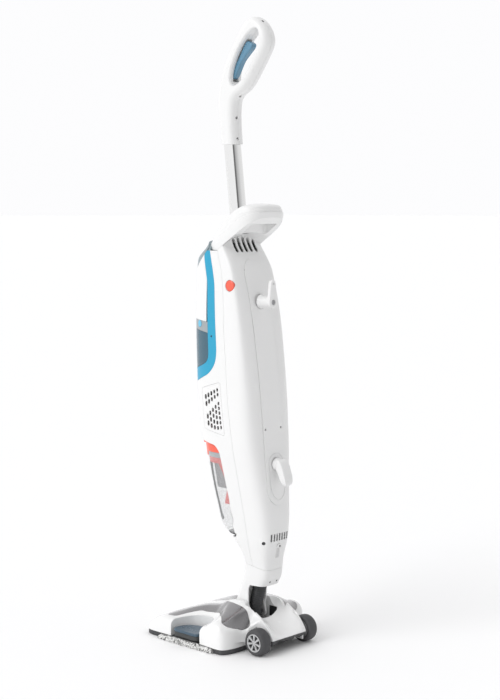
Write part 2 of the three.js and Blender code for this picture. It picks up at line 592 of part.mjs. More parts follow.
// ---------------------------------------------------------------- inside the body
add('motor_housing', bar([0, 16, 404], [0, 16, 466], 40, 28, 42)
  .subtract(bar([0, 16, 407], [0, 16, 470], 37, 28, 39)).add(bar([0, 16, 405], [0, 16, 472], 4, 12)), METAL_CASE);
const blades = [0, 1, 2, 3, 4, 5, 6].map((i) => {
  const blade = new THREE.BoxGeometry(24, 2, 9).translate(19, 0, 0).rotateZ((2 * Math.PI * i) / 7);
  return solid(blade.translate(0, 16, 481.5));
});
const fanHub = bar([0, 16, 476], [0, 16, 490], 9, 18).subtract(bar([0, 16, 470], [0, 16, 486], 4.4, 12));
add('suction_fan', joined(fanHub, bar([0, 16, 476], [0, 16, 478], 33, 28).subtract(bar([0, 16, 470], [0, 16, 486], 8, 12)),
  ...blades), METAL_CASE);
add('boiler', bar([0, 38, 566], [0, 35, 676], 21, 20, 17), METAL_CASE);
add('water_pump', joined(box([-16, 16], [24, 56], [508, 534]), bar([0, 40, 534], [0, 40, 552], 9, 16)), DARK);
add('circuit_board', box([-34, 34], [17, 19], [690, 728]), BOARD);
add('exhaust_filter', box([-24, 24], [82, 98], [198, 222]), FOAM);

const steamPath = new THREE.CatmullRomCurve3([
  new THREE.Vector3(-22, 46, 545), new THREE.Vector3(-44, 52, 510), new THREE.Vector3(-48, 66, 440),
  new THREE.Vector3(-44, 74, 360), new THREE.Vector3(-33, 78, 280), new THREE.Vector3(-29.5, 70, 215), new THREE.Vector3(-19, 74, 172)]);
const section = new THREE.Shape().absarc(0, 0, 4, 0, 2 * Math.PI);
add('steam_hose', solid(new THREE.ExtrudeGeometry(section, { extrudePath: steamPath, steps: 16, curveSegments: 4 })), DARK);

// ---------------------------------------------------------------- neck
const neckBelow = (shift) => outline([
  [-FAR, NECK_SPLIT[0][1] - shift], [0, NECK_SPLIT[0][1] - shift], [120, NECK_SPLIT[1][1] - shift],
  [FAR, NECK_SPLIT[1][1] - shift], [FAR, 0], [-FAR, 0]]);
const neckOpening = sidePrism(outline([[54, 50], [56, 108], [60, 116], [78, 117], [FAR, 113], [FAR, 50]]), -40, 40);
const earShape = (radius) => {
  const ear = new THREE.Shape();
  ear.absarc(PIVOT.y, PIVOT.z, radius, Math.PI, 2 * Math.PI);
  ear.lineTo(52, 78);
  ear.lineTo(30, 78);
  ear.closePath();
  return ear;
};
const ears = [[19.5, 25.2], [-25.2, -19.5]].map(([low, high]) => sidePrism(earShape(10.5), low, high, 0, 6));
const neckShell = outer.subtract(inner).intersect(sidePrism(neckBelow(GAP / 2), -whole, whole))
  .subtract(neckOpening)
  .add(ears[0]).add(ears[1])
  .subtract(bar([-40, PIVOT.y, PIVOT.z], [40, PIVOT.y, PIVOT.z], 4.3, 24));
const neckScrewHoles = [9.3, -9.3].map((x) => bar([x, 80, 125], [x, 120, 125], 2.2, 10));
add('neck_shell', neckShell.subtract(neckScrewHoles[0]).subtract(neckScrewHoles[1]), WHITE);
[['neck_screw_left', 9.3], ['neck_screw_right', -9.3]].forEach(([name, x]) => {
  add(name, screwAt(x, rearFace(x, 125) - 0.8, 125), STEEL);
});
const HOSE_END = { y: 50, z: 68 };
add('suction_hose', joined(
  bar([0, HOSE_END.y, HOSE_END.z], [0, 68, 130], 13, 20),
  bar([0, 68, 126], [0, 74, 196], 13, 20)), DARK);

// ---------------------------------------------------------------- floor head
const planHalf = curve([[-144, 92], [-141, 102], [-134, 109], [-118, 112], [-60, 112.5], [28, 114.5], [54, 116.5],
  [66, 115.5], [72, 111.5], [76, 104], [78.5, 93], [81, 80], [86, 70], [92, 63], [98, 57], [105, 51], [112, 48], [138, 47]]);
const headCrest = curve([[-144, 17], [-135, 26], [-117, 37], [-94, 45], [-65, 54], [-19, 64], [2, 74], [18, 81], [40, 84],
  [60, 83], [75, 80], [88, 75], [98, 69.5], [115, 59], [124, 50], [132, 40], [138, 30]]);
const headEdge = curve([[-144, 15], [-131, 26], [-114, 37], [-94, 43], [-66, 46], [-20, 48], [13, 50], [26, 54], [50, 59],
  [60, 57], [72, 49], [80, 44], [86, 45], [92, 48], [98, 53], [105, 59], [115, 56], [124, 48], [132, 38], [138, 30]]);
const headFloor = curve([[58, 84], [66, 66], [76, 54], [98, 42], [118, 33], [138, 27]]);
const REAR_LIP = { y: 131, z: 26 }; // where the lower edge steps up behind the wheels
const SHOULDER = 13;
const ridgeAt = 43;

function headTop(x, y) {
  const half = planHalf(y);
  const across = Math.abs(x);
  const flat = y > 90 ? 46 : 30;
  const t = THREE.MathUtils.clamp((across - flat) / (half * 0.94 - flat), 0, 1);
  let z = headEdge(y) + (headCrest(y) - headEdge(y)) * 0.5 * (1 + Math.cos(Math.PI * t));
  if (y > 58 && across < ridgeAt) {
    z = Math.min(z, headFloor(y) + (headCrest(y) - headFloor(y)) * (across / ridgeAt) ** 2.4);
  }
  const round = y > 90 ? 3 : SHOULDER;
  const inside = half - across;
  if (inside < round) z -= round * (1 - Math.sqrt(Math.max(0, 1 - ((round - inside) / round) ** 2))) * 0.9;
  return Math.max(z, HEAD_BASE + 2.5);
}

const HEAD_ACROSS = [1, 0.98, 0.93, 0.85, 0.75, 0.62, 0.48, 0.36, 0.2];
const HEAD_STATIONS = [-144, -141, -134, -120, -100, -70, -30, 5, 26, 44, 58, 67, 73, 77, 80, 85, 92, 98, 105, 113, 122,
  131, 138];

function headBlock(inset, base) {
  const rings = HEAD_STATIONS.map((station) => {
    const y = THREE.MathUtils.clamp(station, HEAD_FRONT + inset, HEAD_REAR - inset);
    const half = planHalf(station);
    const side = HEAD_ACROSS.map((u) => [u * half, headTop(u * half, station)]);
    const right = [[half, base], ...side, [0, headTop(0, station)]];
    const shrink = (half - inset) / half;
    const ring = right.map(([x, z]) => new THREE.Vector3(x * shrink, y, z === base ? base : Math.max(z - inset, base + 1)));
    const left = right.slice(0, -1).reverse().map(([x, z]) => (
      new THREE.Vector3(-x * shrink, y, z === base ? base : Math.max(z - inset, base + 1))));
    return [...ring, ...left];
  });
  return loft(rings);
}

const bayOutline = (grow) => outline([[130, -68 - grow], [92 - grow, -67 - grow], [68 - grow, -56 - grow],
  [57 - grow, -36], [57 - grow, -14], [66 - grow, 4 + grow], [80, 12 + grow], [130, 12 + grow]]);
const bays = (grow, low, high) => {
  const bay = planPrism(bayOutline(grow), low, high);
  return [bay, mirrored(bay)];
};
const slotProfile = (grow) => outline([[12 - grow, 130], [9 - grow, 60], [14 - grow, 41 - grow], [76, 41 - grow],
  [80, 52], [80, 130]]);
const neckSlot = (grow) => sidePrism(slotProfile(grow), -(29.5 + grow), 29.5 + grow);
const ductHole = box([-16, 16], [30, 72], [20, 60]);
const pinHoles = bar([-45, PIVOT.y, PIVOT.z], [45, PIVOT.y, PIVOT.z], 4.3, 24);
// Wheel arches: round over the wheel, and open below in front of it.
const arches = (grow) => {
  const left = joined(
    bar([51.5 - grow, WHEEL.y, WHEEL.radius], [130, WHEEL.y, WHEEL.radius], WHEEL.radius + 2 + grow, 28),
    box([51.5 - grow, 130], [79.5 - grow, 150], [-5, 20 + grow]));
  return left.add(mirrored(left));
};
const headOuter = headBlock(0, HEAD_BASE).subtract(bays(0, -10, 90)[0]).subtract(bays(0, -10, 90)[1])
  .subtract(neckSlot(0)).subtract(arches(0));
const headInner = headBlock(3, HEAD_BASE - 5).subtract(bays(2.6, -10, 90)[0]).subtract(bays(2.6, -10, 90)[1])
  .subtract(neckSlot(3)).subtract(arches(2.5));
const axleHoles = bar([-60, WHEEL.y, WHEEL.radius], [60, WHEEL.y, WHEEL.radius], 3.3, 20);
const silverOutline = [[60, -104], [88, -99], [97, -92], [92, -74], [66, -61], [53, -42], [53, -12], [62, 9], [73, 24],
  [84, 48], [97, 75], [80, 83.5], [62, 94], [55, 90], [51, 74], [49, 44], [44, 22], [34, 6], [15, -24], [16, -70],
  [26, -94]];
const silverZone = planPrism(outline(silverOutline), 0, 120);
const raised = (height) => headBlock(0, HEAD_BASE).translate([0, 0, height]);
const panelBed = silverZone.subtract(headBlock(0, HEAD_BASE).translate([0, 0, -1.5]));
const headShell = headOuter.subtract(headInner).subtract(ductHole).subtract(pinHoles).subtract(axleHoles)
  .subtract(panelBed).subtract(mirrored(panelBed))
  .subtract(box([-60, 60], [REAR_LIP.y, 150], [0, REAR_LIP.z]));
add('head_shell', headShell, WHITE);
const silverInset = planPrism(outline(grown(silverOutline, -GAP)), 0, 120);
const silverPanel = raised(0.2).intersect(silverInset).subtract(headBlock(0, HEAD_BASE).translate([0, 0, -1.1]))
  .subtract(bays(0.4, -10, 90)[0]).subtract(neckSlot(0.5)).subtract(arches(0.5));
add('head_panel_left', silverPanel, SILVER);
add('head_panel_right', mirrored(silverPanel), SILVER);

// Sole: a plate under the shell, with thick rubber-edged strips front and rear, cut away for the pad tray.
const planOutline = (inset) => {
  const stations = [...HEAD_STATIONS.filter((y) => y < 79), 79.2];
  const side = stations.map((y) => [planHalf(y) - inset, Math.max(y, HEAD_FRONT + inset)]);
  return outline([...side, ...side.map(([x, y]) => [-x, y]).reverse()]);
};
const PAD = { front: -96, rear: 49, half: 117 };
const soleTop = HEAD_BASE - GAP;
const suctionSlot = box([-84, 84], [-128, -114], [-5, 40]);
const sole = planPrism(planOutline(1.2), 1, soleTop)
  .subtract(box([-130, 130], [PAD.front - 1, PAD.rear + 1], [-5, 6.6]))
  .subtract(box([108.5, 130], [PAD.front - 1, PAD.rear + 1], [-5, 20]))
  .subtract(box([-130, -108.5], [PAD.front - 1, PAD.rear + 1], [-5, 20]))
  .subtract(suctionSlot).subtract(ductHole.translate([0, 0, -20]))
  .add(box([-44, 44], [74, 90.5], [1, 22]))
  .add(box([-44, 44], [88, REAR_LIP.y + 1], [20, 22]))
  .add(box([-46, 46], [REAR_LIP.y + GAP, HEAD_REAR - 1], [19, REAR_LIP.z - GAP]));
add('sole_plate', sole, DARK);
add('pad_tray', box([-107.5, 107.5], [PAD.front + 2, PAD.rear - 2], [3.4, 6.3]), DARK);
const padBlank = box([-PAD.half, PAD.half], [PAD.front, PAD.rear], [0, 8.6]);
add('mop_pad', padBlank.subtract(box([-108.8, 108.8], [PAD.front - 5, PAD.rear + 5], [3.1, 20])), CHENILLE);

// Foot tabs in the side bays.
const tabOutline = outline([[114.5, -53], [96, -55], [80, -50], [71, -38], [70, -20], [75, -6], [86, 1], [114.5, 3]]);
const tab = planPrism(tabOutline, 13, 27, 1.5);
add('foot_tab_left', tab, TAB_BLUE);
add('foot_tab_right', mirrored(tab), TAB_BLUE);

// Pivot pins and the duct below the hose.
[['pivot_pin_left', 18, 37], ['pivot_pin_right', -37, -18]].forEach(([name, low, high]) => {
  add(name, bar([low, PIVOT.y, PIVOT.z], [high, PIVOT.y, PIVOT.z], 4, 24), STEEL);
});
add('suction_duct', box([-15, 15], [31, 71], [HEAD_BASE + GAP, 37])
  .subtract(box([-12.5, 12.5], [33.5, 68.5], [0, 50])), DARK);

// Wheels.
const tyreProfile = [[-12, 17.5], [-12, 22], [-10, 24.8], [-7, 25.5], [4, 25.5], [8.5, 24], [11.5, 20], [11.5, 17.5],
  [-12, 17.5]];
const hubDisc = (side) => {
  const disc = turnedX([[-8, 0], [-8, 17.2], [11.5, 17.2], [11.5, 14.5], [8, 14.5], [8, 5], [11.5, 4], [11.5, 0]],
    [0, 0, 0], 24);
  const spokes = [0, 1, 2, 3, 4, 5, 6].map((i) => {
    const spoke = new THREE.BoxGeometry(3.6, 12, 3.2).translate(9.2, 9.2, 0).rotateX((2 * Math.PI * i) / 7);
    return solid(spoke);
  });
  const left = joined(disc, ...spokes).subtract(bar([-12, 0, 0], [5, 0, 0], 3.3, 20));
  const turned = side > 0 ? left : mirrored(left);
  return turned.translate([side * WHEEL.x, WHEEL.y, WHEEL.radius]);
};
[['left', 1], ['right', -1]].forEach(([name, side]) => {
  add(`tyre_${name}`, turnedX(tyreProfile, [side * WHEEL.x, WHEEL.y, WHEEL.radius]), TYRE);
  add(`hub_${name}`, hubDisc(side), HUB);
  const ends = side > 0 ? [40, 70] : [-70, -40];
  add(`axle_${name}`, bar([ends[0], WHEEL.y, WHEEL.radius], [ends[1], WHEEL.y, WHEEL.radius], 3, 20), STEEL);
});

export default group;
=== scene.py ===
# Upright vacuum and steam mop: the fine surfaces, their materials, and the studio.
import bpy
import bmesh
import json
import math
import random
from mathutils import Matrix, Vector

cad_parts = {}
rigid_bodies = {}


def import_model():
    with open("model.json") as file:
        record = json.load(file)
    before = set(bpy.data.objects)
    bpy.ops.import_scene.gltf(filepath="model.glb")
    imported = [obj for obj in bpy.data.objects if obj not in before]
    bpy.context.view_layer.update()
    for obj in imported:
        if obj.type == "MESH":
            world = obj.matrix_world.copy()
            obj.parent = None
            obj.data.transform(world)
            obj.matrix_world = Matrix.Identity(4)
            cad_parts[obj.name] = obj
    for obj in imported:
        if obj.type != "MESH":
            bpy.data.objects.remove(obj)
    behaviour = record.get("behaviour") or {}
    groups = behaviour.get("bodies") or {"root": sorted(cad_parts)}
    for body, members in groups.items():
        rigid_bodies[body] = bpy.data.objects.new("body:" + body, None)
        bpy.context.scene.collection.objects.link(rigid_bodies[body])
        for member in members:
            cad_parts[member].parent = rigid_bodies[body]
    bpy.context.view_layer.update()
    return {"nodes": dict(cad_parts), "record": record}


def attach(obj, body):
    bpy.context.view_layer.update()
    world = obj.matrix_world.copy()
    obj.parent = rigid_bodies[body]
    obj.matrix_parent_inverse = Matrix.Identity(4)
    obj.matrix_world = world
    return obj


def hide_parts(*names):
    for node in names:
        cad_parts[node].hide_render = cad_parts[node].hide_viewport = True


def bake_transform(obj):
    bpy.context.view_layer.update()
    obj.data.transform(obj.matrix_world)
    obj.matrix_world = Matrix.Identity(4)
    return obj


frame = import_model()
scene = bpy.context.scene
random.seed(7)
MM = 0.001
BODY_OF = {node: body for body, nodes in frame["record"]["behaviour"]["bodies"].items() for node in nodes}

# ------------------------------------------------------------------ camera
camera = bpy.data.objects.new("camera", bpy.data.cameras.new("camera"))
scene.collection.objects.link(camera)
scene.camera = camera
camera.data.sensor_fit = "VERTICAL"
camera.data.sensor_height = 36
camera.data.lens = 78.53
camera.location = (2.0868, 2.0101, 0.8746)
pitch = math.radians(6.22)
look = Vector((-0.7264 * math.cos(pitch), -0.6873 * math.cos(pitch), -math.sin(pitch)))
camera.rotation_euler = look.to_track_quat("-Z", "Y").to_euler()

# ------------------------------------------------------------------ materials
def surface(name, color, rough=0.35, metal=0.0, alpha=1.0, coat=0.0, grain=0.05, grain_size=1400, mottle=0.03,
            mottle_size=9, rough_spread=0.06, sheen=0.0, edge=0.6, worn=0.0):
    """Moulded, lacquered or plated surface: faint colour drift, uneven gloss, fine grain, softened edges."""
    m = bpy.data.materials.new(name)
    m.use_nodes = True
    nodes, links = m.node_tree.nodes, m.node_tree.links
    shader = nodes["Principled BSDF"]
    shader.inputs["Metallic"].default_value = metal
    shader.inputs["Alpha"].default_value = alpha
    shader.inputs["Coat Weight"].default_value = coat
    shader.inputs["Coat Roughness"].default_value = 0.08
    shader.inputs["Sheen Weight"].default_value = sheen
    shader.inputs["IOR"].default_value = 1.46
    place = nodes.new("ShaderNodeTexCoord")
    drift = nodes.new("ShaderNodeTexNoise")
    drift.inputs["Scale"].default_value = mottle_size
    drift.inputs["Detail"].default_value = 4
    links.new(place.outputs["Object"], drift.inputs["Vector"])
    tint = nodes.new("ShaderNodeMix")
    tint.data_type = "RGBA"
    tint.inputs[6].default_value = (*[c * (1 - mottle) for c in color], 1)
    tint.inputs[7].default_value = (*[min(1, c * (1 + mottle)) for c in color], 1)
    links.new(drift.outputs["Fac"], tint.inputs[0])
    last = tint.outputs[2]
    if worn:
        geometry = nodes.new("ShaderNodeNewGeometry")
        ramp = nodes.new("ShaderNodeMapRange")
        ramp.inputs["From Min"].default_value = 0.52
        ramp.inputs["From Max"].default_value = 0.62
        ramp.inputs["To Max"].default_value = worn
        links.new(geometry.outputs["Pointiness"], ramp.inputs["Value"])
        wear = nodes.new("ShaderNodeMix")
        wear.data_type = "RGBA"
        links.new(ramp.outputs["Result"], wear.inputs[0])
        links.new(last, wear.inputs[6])
        wear.inputs[7].default_value = (*[min(1, c * 1.5 + 0.06) for c in color], 1)
        last = wear.outputs[2]
    links.new(last, shader.inputs["Base Color"])
    gloss = nodes.new("ShaderNodeTexNoise")
    gloss.inputs["Scale"].default_value = 55
    gloss.inputs["Detail"].default_value = 6
    links.new(place.outputs["Object"], gloss.inputs["Vector"])
    spread = nodes.new("ShaderNodeMapRange")
    spread.inputs["From Min"].default_value = 0.3
    spread.inputs["From Max"].default_value = 0.7
    spread.inputs["To Min"].default_value = max(0.02, rough - rough_spread)
    spread.inputs["To Max"].default_value = rough + rough_spread
    links.new(gloss.outputs["Fac"], spread.inputs["Value"])
    links.new(spread.outputs["Result"], shader.inputs["Roughness"])
    fine = nodes.new("ShaderNodeTexNoise")
    fine.inputs["Scale"].default_value = grain_size
    fine.inputs["Detail"].default_value = 3
    links.new(place.outputs["Object"], fine.inputs["Vector"])
    bump = nodes.new("ShaderNodeBump")
    bump.inputs["Strength"].default_value = grain
    bump.inputs["Distance"].default_value = 0.0004
    links.new(fine.outputs["Fac"], bump.inputs["Height"])
    if edge:
        soft = nodes.new("ShaderNodeBevel")
        soft.samples = 4
        soft.inputs["Radius"].default_value = edge * MM
        links.new(soft.outputs["Normal"], bump.inputs["Normal"])
    links.new(bump.outputs["Normal"], shader.inputs["Normal"])
    return m


WHITE = surface("white_plastic", (0.8, 0.8, 0.797), 0.34, coat=0.15, grain=0.012, grain_size=2400,
                mottle=0.006, rough_spread=0.015, edge=0.8)
SHELL = surface("head_white", (0.83, 0.83, 0.827), 0.26, coat=0.35, grain=0.01, grain_size=2400, mottle=0.006,
                rough_spread=0.015, edge=0.8)
SILVER = surface("silver_lacquer", (0.27, 0.265, 0.27), 0.24, 0.95, coat=0.5, grain=0.012, grain_size=3000,
                 mottle=0.03, mottle_size=30, rough_spread=0.03, edge=0.5)
DARK = surface("dark_plastic", (0.035, 0.036, 0.038), 0.5, grain=0.25, grain_size=900, mottle=0.15, worn=0.35)
TYRE = surface("tyre_rubber", (0.062, 0.062, 0.065), 0.62, grain=0.3, grain_size=700, mottle=0.15,
               mottle_size=40, edge=0.4, worn=0.3)
HUB = surface("hub_plastic", (0.5, 0.505, 0.51), 0.33, 0.35, grain=0.05, edge=0.4)
CHROME = surface("tube_chrome", (0.86, 0.86, 0.855), 0.07, 1.0, grain=0.015, grain_size=300, mottle=0.02,
                 rough_spread=0.03, edge=0)
BLUE = surface("blue_plastic", (0.008, 0.335, 0.54), 0.32, coat=0.25, grain=0.012, grain_size=2400,
               mottle=0.01, rough_spread=0.015)
TAB = surface("tab_blue", (0.055, 0.095, 0.135), 0.3, coat=0.1, grain=0.1, mottle=0.06, worn=0.2)
# Dark plastic of the tab skirts and lid lip, also used as painted shade along the clear cup's edge.
DARK_SKIRT_AND_SHADE = surface("tab_skirt", (0.04, 0.042, 0.042), 0.5, grain=0.2, mottle=0.1, worn=0.3)
PALE = surface("pale_blue", (0.13, 0.5, 0.72), 0.3, coat=0.3, grain=0.03)
PANEL = surface("panel_grey", (0.25, 0.31, 0.335), 0.32, coat=0.2, grain=0.06, mottle=0.03)
BAND = surface("band_grey", (0.345, 0.375, 0.39), 0.35, 0.15, grain=0.06, mottle=0.03)
RED = surface("red_plastic", (0.9, 0.125, 0.075), 0.3, coat=0.3, grain=0.03, mottle=0.03)
PINK = surface("pink_clear", (0.8, 0.1, 0.085), 0.25, alpha=0.8, coat=0.3, grain=0.02, mottle=0.03)
TANK = surface("tank_blue", (0.03, 0.105, 0.155), 0.12, alpha=0.93, coat=0.6, grain=0.02, mottle=0.08,
               mottle_size=20)
CLEAR = surface("clear_plastic", (0.72, 0.74, 0.745), 0.12, alpha=0.16, coat=0.5, grain=0.01, mottle=0.02,
                edge=0.5)
TRIGGER = surface("trigger_blue", (0.11, 0.27, 0.4), 0.16, alpha=0.94, coat=0.6, grain=0.02, mottle=0.06)
STEEL = surface("screw_steel", (0.36, 0.36, 0.37), 0.32, 0.9, grain=0.1, mottle=0.08)
SCREW = surface("screw_dark", (0.1, 0.1, 0.105), 0.4, 0.8, grain=0.1, mottle=0.1, edge=0.2)
CASE = surface("metal_case", (0.6, 0.6, 0.61), 0.38, 0.85, grain=0.15, grain_size=500, mottle=0.05)
BOARD = surface("board_green", (0.03, 0.14, 0.06), 0.4, coat=0.3, grain=0.2, grain_size=400, mottle=0.3,
                mottle_size=90)
FOAM = surface("foam", (0.08, 0.085, 0.09), 0.95, grain=0.9, grain_size=500, mottle=0.4, mottle_size=300)
# Near-black fill for the insides of holes, slots and recesses: painted shade.
SHADE_BLACK = surface("painted_shade_black", (0.012, 0.012, 0.013), 0.6, grain=0.1, mottle=0.1)


def woven(name, dark, light, pitch, rough=0.6):
    """Fine woven mesh: two crossing sets of threads around a cylinder."""
    m = surface(name, light, rough, grain=0.2)
    nodes, links = m.node_tree.nodes, m.node_tree.links
    place = next(n for n in nodes if n.type == "TEX_COORD")
    threads = []
    for direction in ("Z", "DIAGONAL"):
        wave = nodes.new("ShaderNodeTexWave")
        wave.wave_type = "BANDS"
        wave.bands_direction = direction
        wave.inputs["Scale"].default_value = 0.31 / pitch
        wave.inputs["Distortion"].default_value = 0.2
        links.new(place.outputs["Object"], wave.inputs["Vector"])
        threads.append(wave.outputs["Fac"])
    both = nodes.new("ShaderNodeMath")
    both.operation = "MAXIMUM"
    links.new(threads[0], both.inputs[0])
    links.new(threads[1], both.inputs[1])
    weave = nodes.new("ShaderNodeMix")
    weave.data_type = "RGBA"
    weave.inputs[6].default_value = (*dark, 1)
    weave.inputs[7].default_value = (*light, 1)
    links.new(both.outputs["Value"], weave.inputs[0])
    links.new(weave.outputs[2], nodes["Principled BSDF"].inputs["Base Color"])
    return m


MESH = woven("filter_mesh", (0.16, 0.155, 0.16), (0.42, 0.41, 0.42), 0.0012)


def chenille():
    """Strand yarn: each strand takes its own grey from near white to charcoal, with a soft nap."""
    m = surface("chenille", (0.5, 0.5, 0.49), 0.95, grain=0.9, grain_size=1500, sheen=0.5, edge=0)
    nodes, links = m.node_tree.nodes, m.node_tree.links
    island = nodes.new("ShaderNodeNewGeometry")
    ramp = nodes.new("ShaderNodeValToRGB")
    stops = ramp.color_ramp
    stops.elements[0].position = 0.0
    stops.elements[0].color = (0.055, 0.055, 0.055, 1)
    stops.elements[1].position = 1.0
    stops.elements[1].color = (0.88, 0.88, 0.87, 1)
    for at, value in ((0.15, 0.25), (0.3, 0.55), (0.5, 0.8)):
        stop = stops.elements.new(at)
        stop.color = (value, value, value * 0.98, 1)
    links.new(island.outputs["Random Per Island"], ramp.inputs["Fac"])
    links.new(ramp.outputs["Color"], nodes["Principled BSDF"].inputs["Base Color"])
    return m


CHENILLE = chenille()

# ------------------------------------------------------------------ solids, in millimetres
making = bpy.data.collections.new("making")
scene.collection.children.link(making)


def clamp(value, low, high):
    return max(low, min(high, value))


def curve(points):
    """A smooth function through (position, value) points that never overshoots them."""
    at = [p[0] for p in points]
    value = [p[1] for p in points]
    last = len(points) - 1
    slope = [(value[i + 1] - value[i]) / (at[i + 1] - at[i]) for i in range(last)]
    tangent = [slope[0]]
    for i in range(1, last):
        a, b = slope[i - 1], slope[i]
        tangent.append(0 if a * b <= 0 else 2 * a * b / (a + b))
    tangent.append(slope[-1])

    def evaluate(position):
        if position <= at[0]:
            return value[0]
        if position >= at[last]:
            return value[last]
        i = next(k for k in range(last) if at[k + 1] > position)
        step = at[i + 1] - at[i]
        t = (position - at[i]) / step
        back = (1 - t) ** 2
        return (value[i] * (1 + 2 * t) * back + value[i + 1] * t * t * (3 - 2 * t)
                + step * tangent[i] * t * back - step * tangent[i + 1] * t * t * (1 - t))
    return evaluate


def solid(verts, faces):
    mesh = bpy.data.meshes.new("solid")
    mesh.from_pydata([tuple(v) for v in verts], [], faces)
    bm = bmesh.new()
    bm.from_mesh(mesh)
    bmesh.ops.remove_doubles(bm, verts=bm.verts, dist=1e-4)
    bmesh.ops.recalc_face_normals(bm, faces=bm.faces)
    bm.to_mesh(mesh)
    bm.free()
    piece = bpy.data.objects.new("solid", mesh)
    making.objects.link(piece)
    return piece


def loft(rings):
    """A closed skin over rings of equal point count, capped at both ends."""
    count = len(rings[0])
    verts = [p for ring in rings for p in ring]
    faces = []
    for r in range(len(rings) - 1):
        for i in range(count):
            j = (i + 1) % count
            faces.append((r * count + i, r * count + j, (r + 1) * count + j, (r + 1) * count + i))
    faces.append(tuple(range(count)))
    faces.append(tuple(range((len(rings) - 1) * count, len(rings) * count)))
    return solid(verts, faces)


def grown(points, distance):
    """The same closed outline, grown outwards by a distance, or shrunk by a negative one."""
    count = len(points)
    area = sum(points[i - 1][0] * points[i][1] - points[i][0] * points[i - 1][1] for i in range(count))
    out = distance if area > 0 else -distance
    result = []
    for i in range(count):
        a, b, c = (Vector(points[(i + k) % count]) for k in (-1, 0, 1))
        into, away = (b - a).normalized(), (c - b).normalized()
        normal = Vector((into.y + away.y, -into.x - away.x)).normalized()
        reach = out / max(0.5, normal.dot(Vector((into.y, -into.x))))
        result.append((b.x + normal.x * reach, b.y + normal.y * reach))
    return result


TO_SPACE = {"x": lambda u, v, d: (d, u, v), "y": lambda u, v, d: (u, d, v), "z": lambda u, v, d: (u, v, d)}


def prism(points, axis, low, high, round_off=0.0, steps=4, flare=False):
    """An outline in (y, z), (x, z) or (x, y) drawn out along x, y or z, its long edges rounded off."""
    put = TO_SPACE[axis]
    if not round_off:
        return loft([[put(u, v, d) for u, v in points] for d in (low, high)])
    rings = []
    for k in range(steps + 1):
        turn = math.pi / 2 * k / steps
        rings.append((low + round_off * (1 - math.sin(turn)), round_off * (1 - math.cos(turn))))
    rings = [(d, inset) for d, inset in sorted(rings)]
    rings += [(low + high - d, inset) for d, inset in reversed(rings)]
    sign = 1 if flare else -1
    return loft([[put(u, v, d) for u, v in grown(points, sign * inset)] for d, inset in rings])


def cuboid(x, y, z):
    return prism([(x[0], y[0]), (x[1], y[0]), (x[1], y[1]), (x[0], y[1])], "z", z[0], z[1])


def turned(profile, origin, direction, sides=64):
    """A turned piece: (distance along the axis, radius) points about an axis through origin."""
    way = Vector(direction).normalized()
    turn = Vector((0, 0, 1)).rotation_difference(way).to_matrix()
    rings = []
    for along, radius in profile:
        rings.append([Vector(origin) + turn @ Vector((
            radius * math.cos(2 * math.pi * i / sides), radius * math.sin(2 * math.pi * i / sides), along))
            for i in range(sides)])
    return loft(rings)


def bar(start, end, radius, sides=48, end_radius=None):
    length = (Vector(end) - Vector(start)).length
    return turned([(0, radius), (length, radius if end_radius is None else end_radius)], start,
                  Vector(end) - Vector(start), sides)


def combine(base, *steps):
    """base cut, joined or crossed with the others in turn; each step is (operation, solid)."""
    piece = base.copy()
    piece.data = base.data.copy()
    making.objects.link(piece)
    for operation, other in steps:
        step = piece.modifiers.new(operation, "BOOLEAN")
        step.operation = operation
        step.solver = "MANIFOLD"
        step.object = other
    bpy.context.view_layer.update()
    graph = bpy.context.evaluated_depsgraph_get()
    mesh = bpy.data.meshes.new_from_object(piece.evaluated_get(graph))
    piece.modifiers.clear()
    piece.data = mesh
    return piece


def minus(base, *others):
    return combine(base, *[("DIFFERENCE", o) for o in others])


def cross(base, *others):
    return combine(base, *[("INTERSECT", o) for o in others])


def plus(base, *others):
    return combine(base, *[("UNION", o) for o in others])


def moved(piece, x=0.0, y=0.0, z=0.0):
    copy = piece.copy()
    copy.data = piece.data.copy()
    making.objects.link(copy)
    copy.data.transform(Matrix.Translation((x, y, z)))
    return copy


def mirrored(piece):
    copy = piece.copy()
    copy.data = piece.data.copy()
    making.objects.link(copy)
    copy.data.transform(Matrix.Scale(-1, 4, (1, 0, 0)))
    copy.data.flip_normals()
    return copy


def show(name, piece, material, *nodes, sharp=32, body=None, merge=0.02, ride=True):
    """Puts a finished piece in the scene, in metres, for the CAD nodes that it stands for."""
    mesh = piece.data.copy()
    bm = bmesh.new()
    bm.from_mesh(mesh)
    bmesh.ops.remove_doubles(bm, verts=bm.verts, dist=merge)
    bmesh.ops.dissolve_degenerate(bm, edges=bm.edges, dist=1e-3)
    bm.to_mesh(mesh)
    bm.free()
    mesh.transform(Matrix.Scale(MM, 4))
    mesh.materials.clear()
    mesh.materials.append(material)
    mesh.shade_smooth()
    mesh.set_sharp_from_angle(angle=math.radians(sharp))
    result = bpy.data.objects.new(name, mesh)
    scene.collection.objects.link(result)
    weighted = result.modifiers.new("weighted", "WEIGHTED_NORMAL")
    weighted.keep_sharp = True
    if ride:
        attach(result, body or BODY_OF[nodes[0]])
    if nodes:
        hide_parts(*nodes)
    return result



def show_both(name, left, material, node=None, **more):
    """Shows a left piece and its mirror image."""
    for hand, piece in (("left", left), ("right", mirrored(left))):
        show(f"{name}_{hand}", piece, material, *([f"{node}_{hand}"] if node else []), **more)


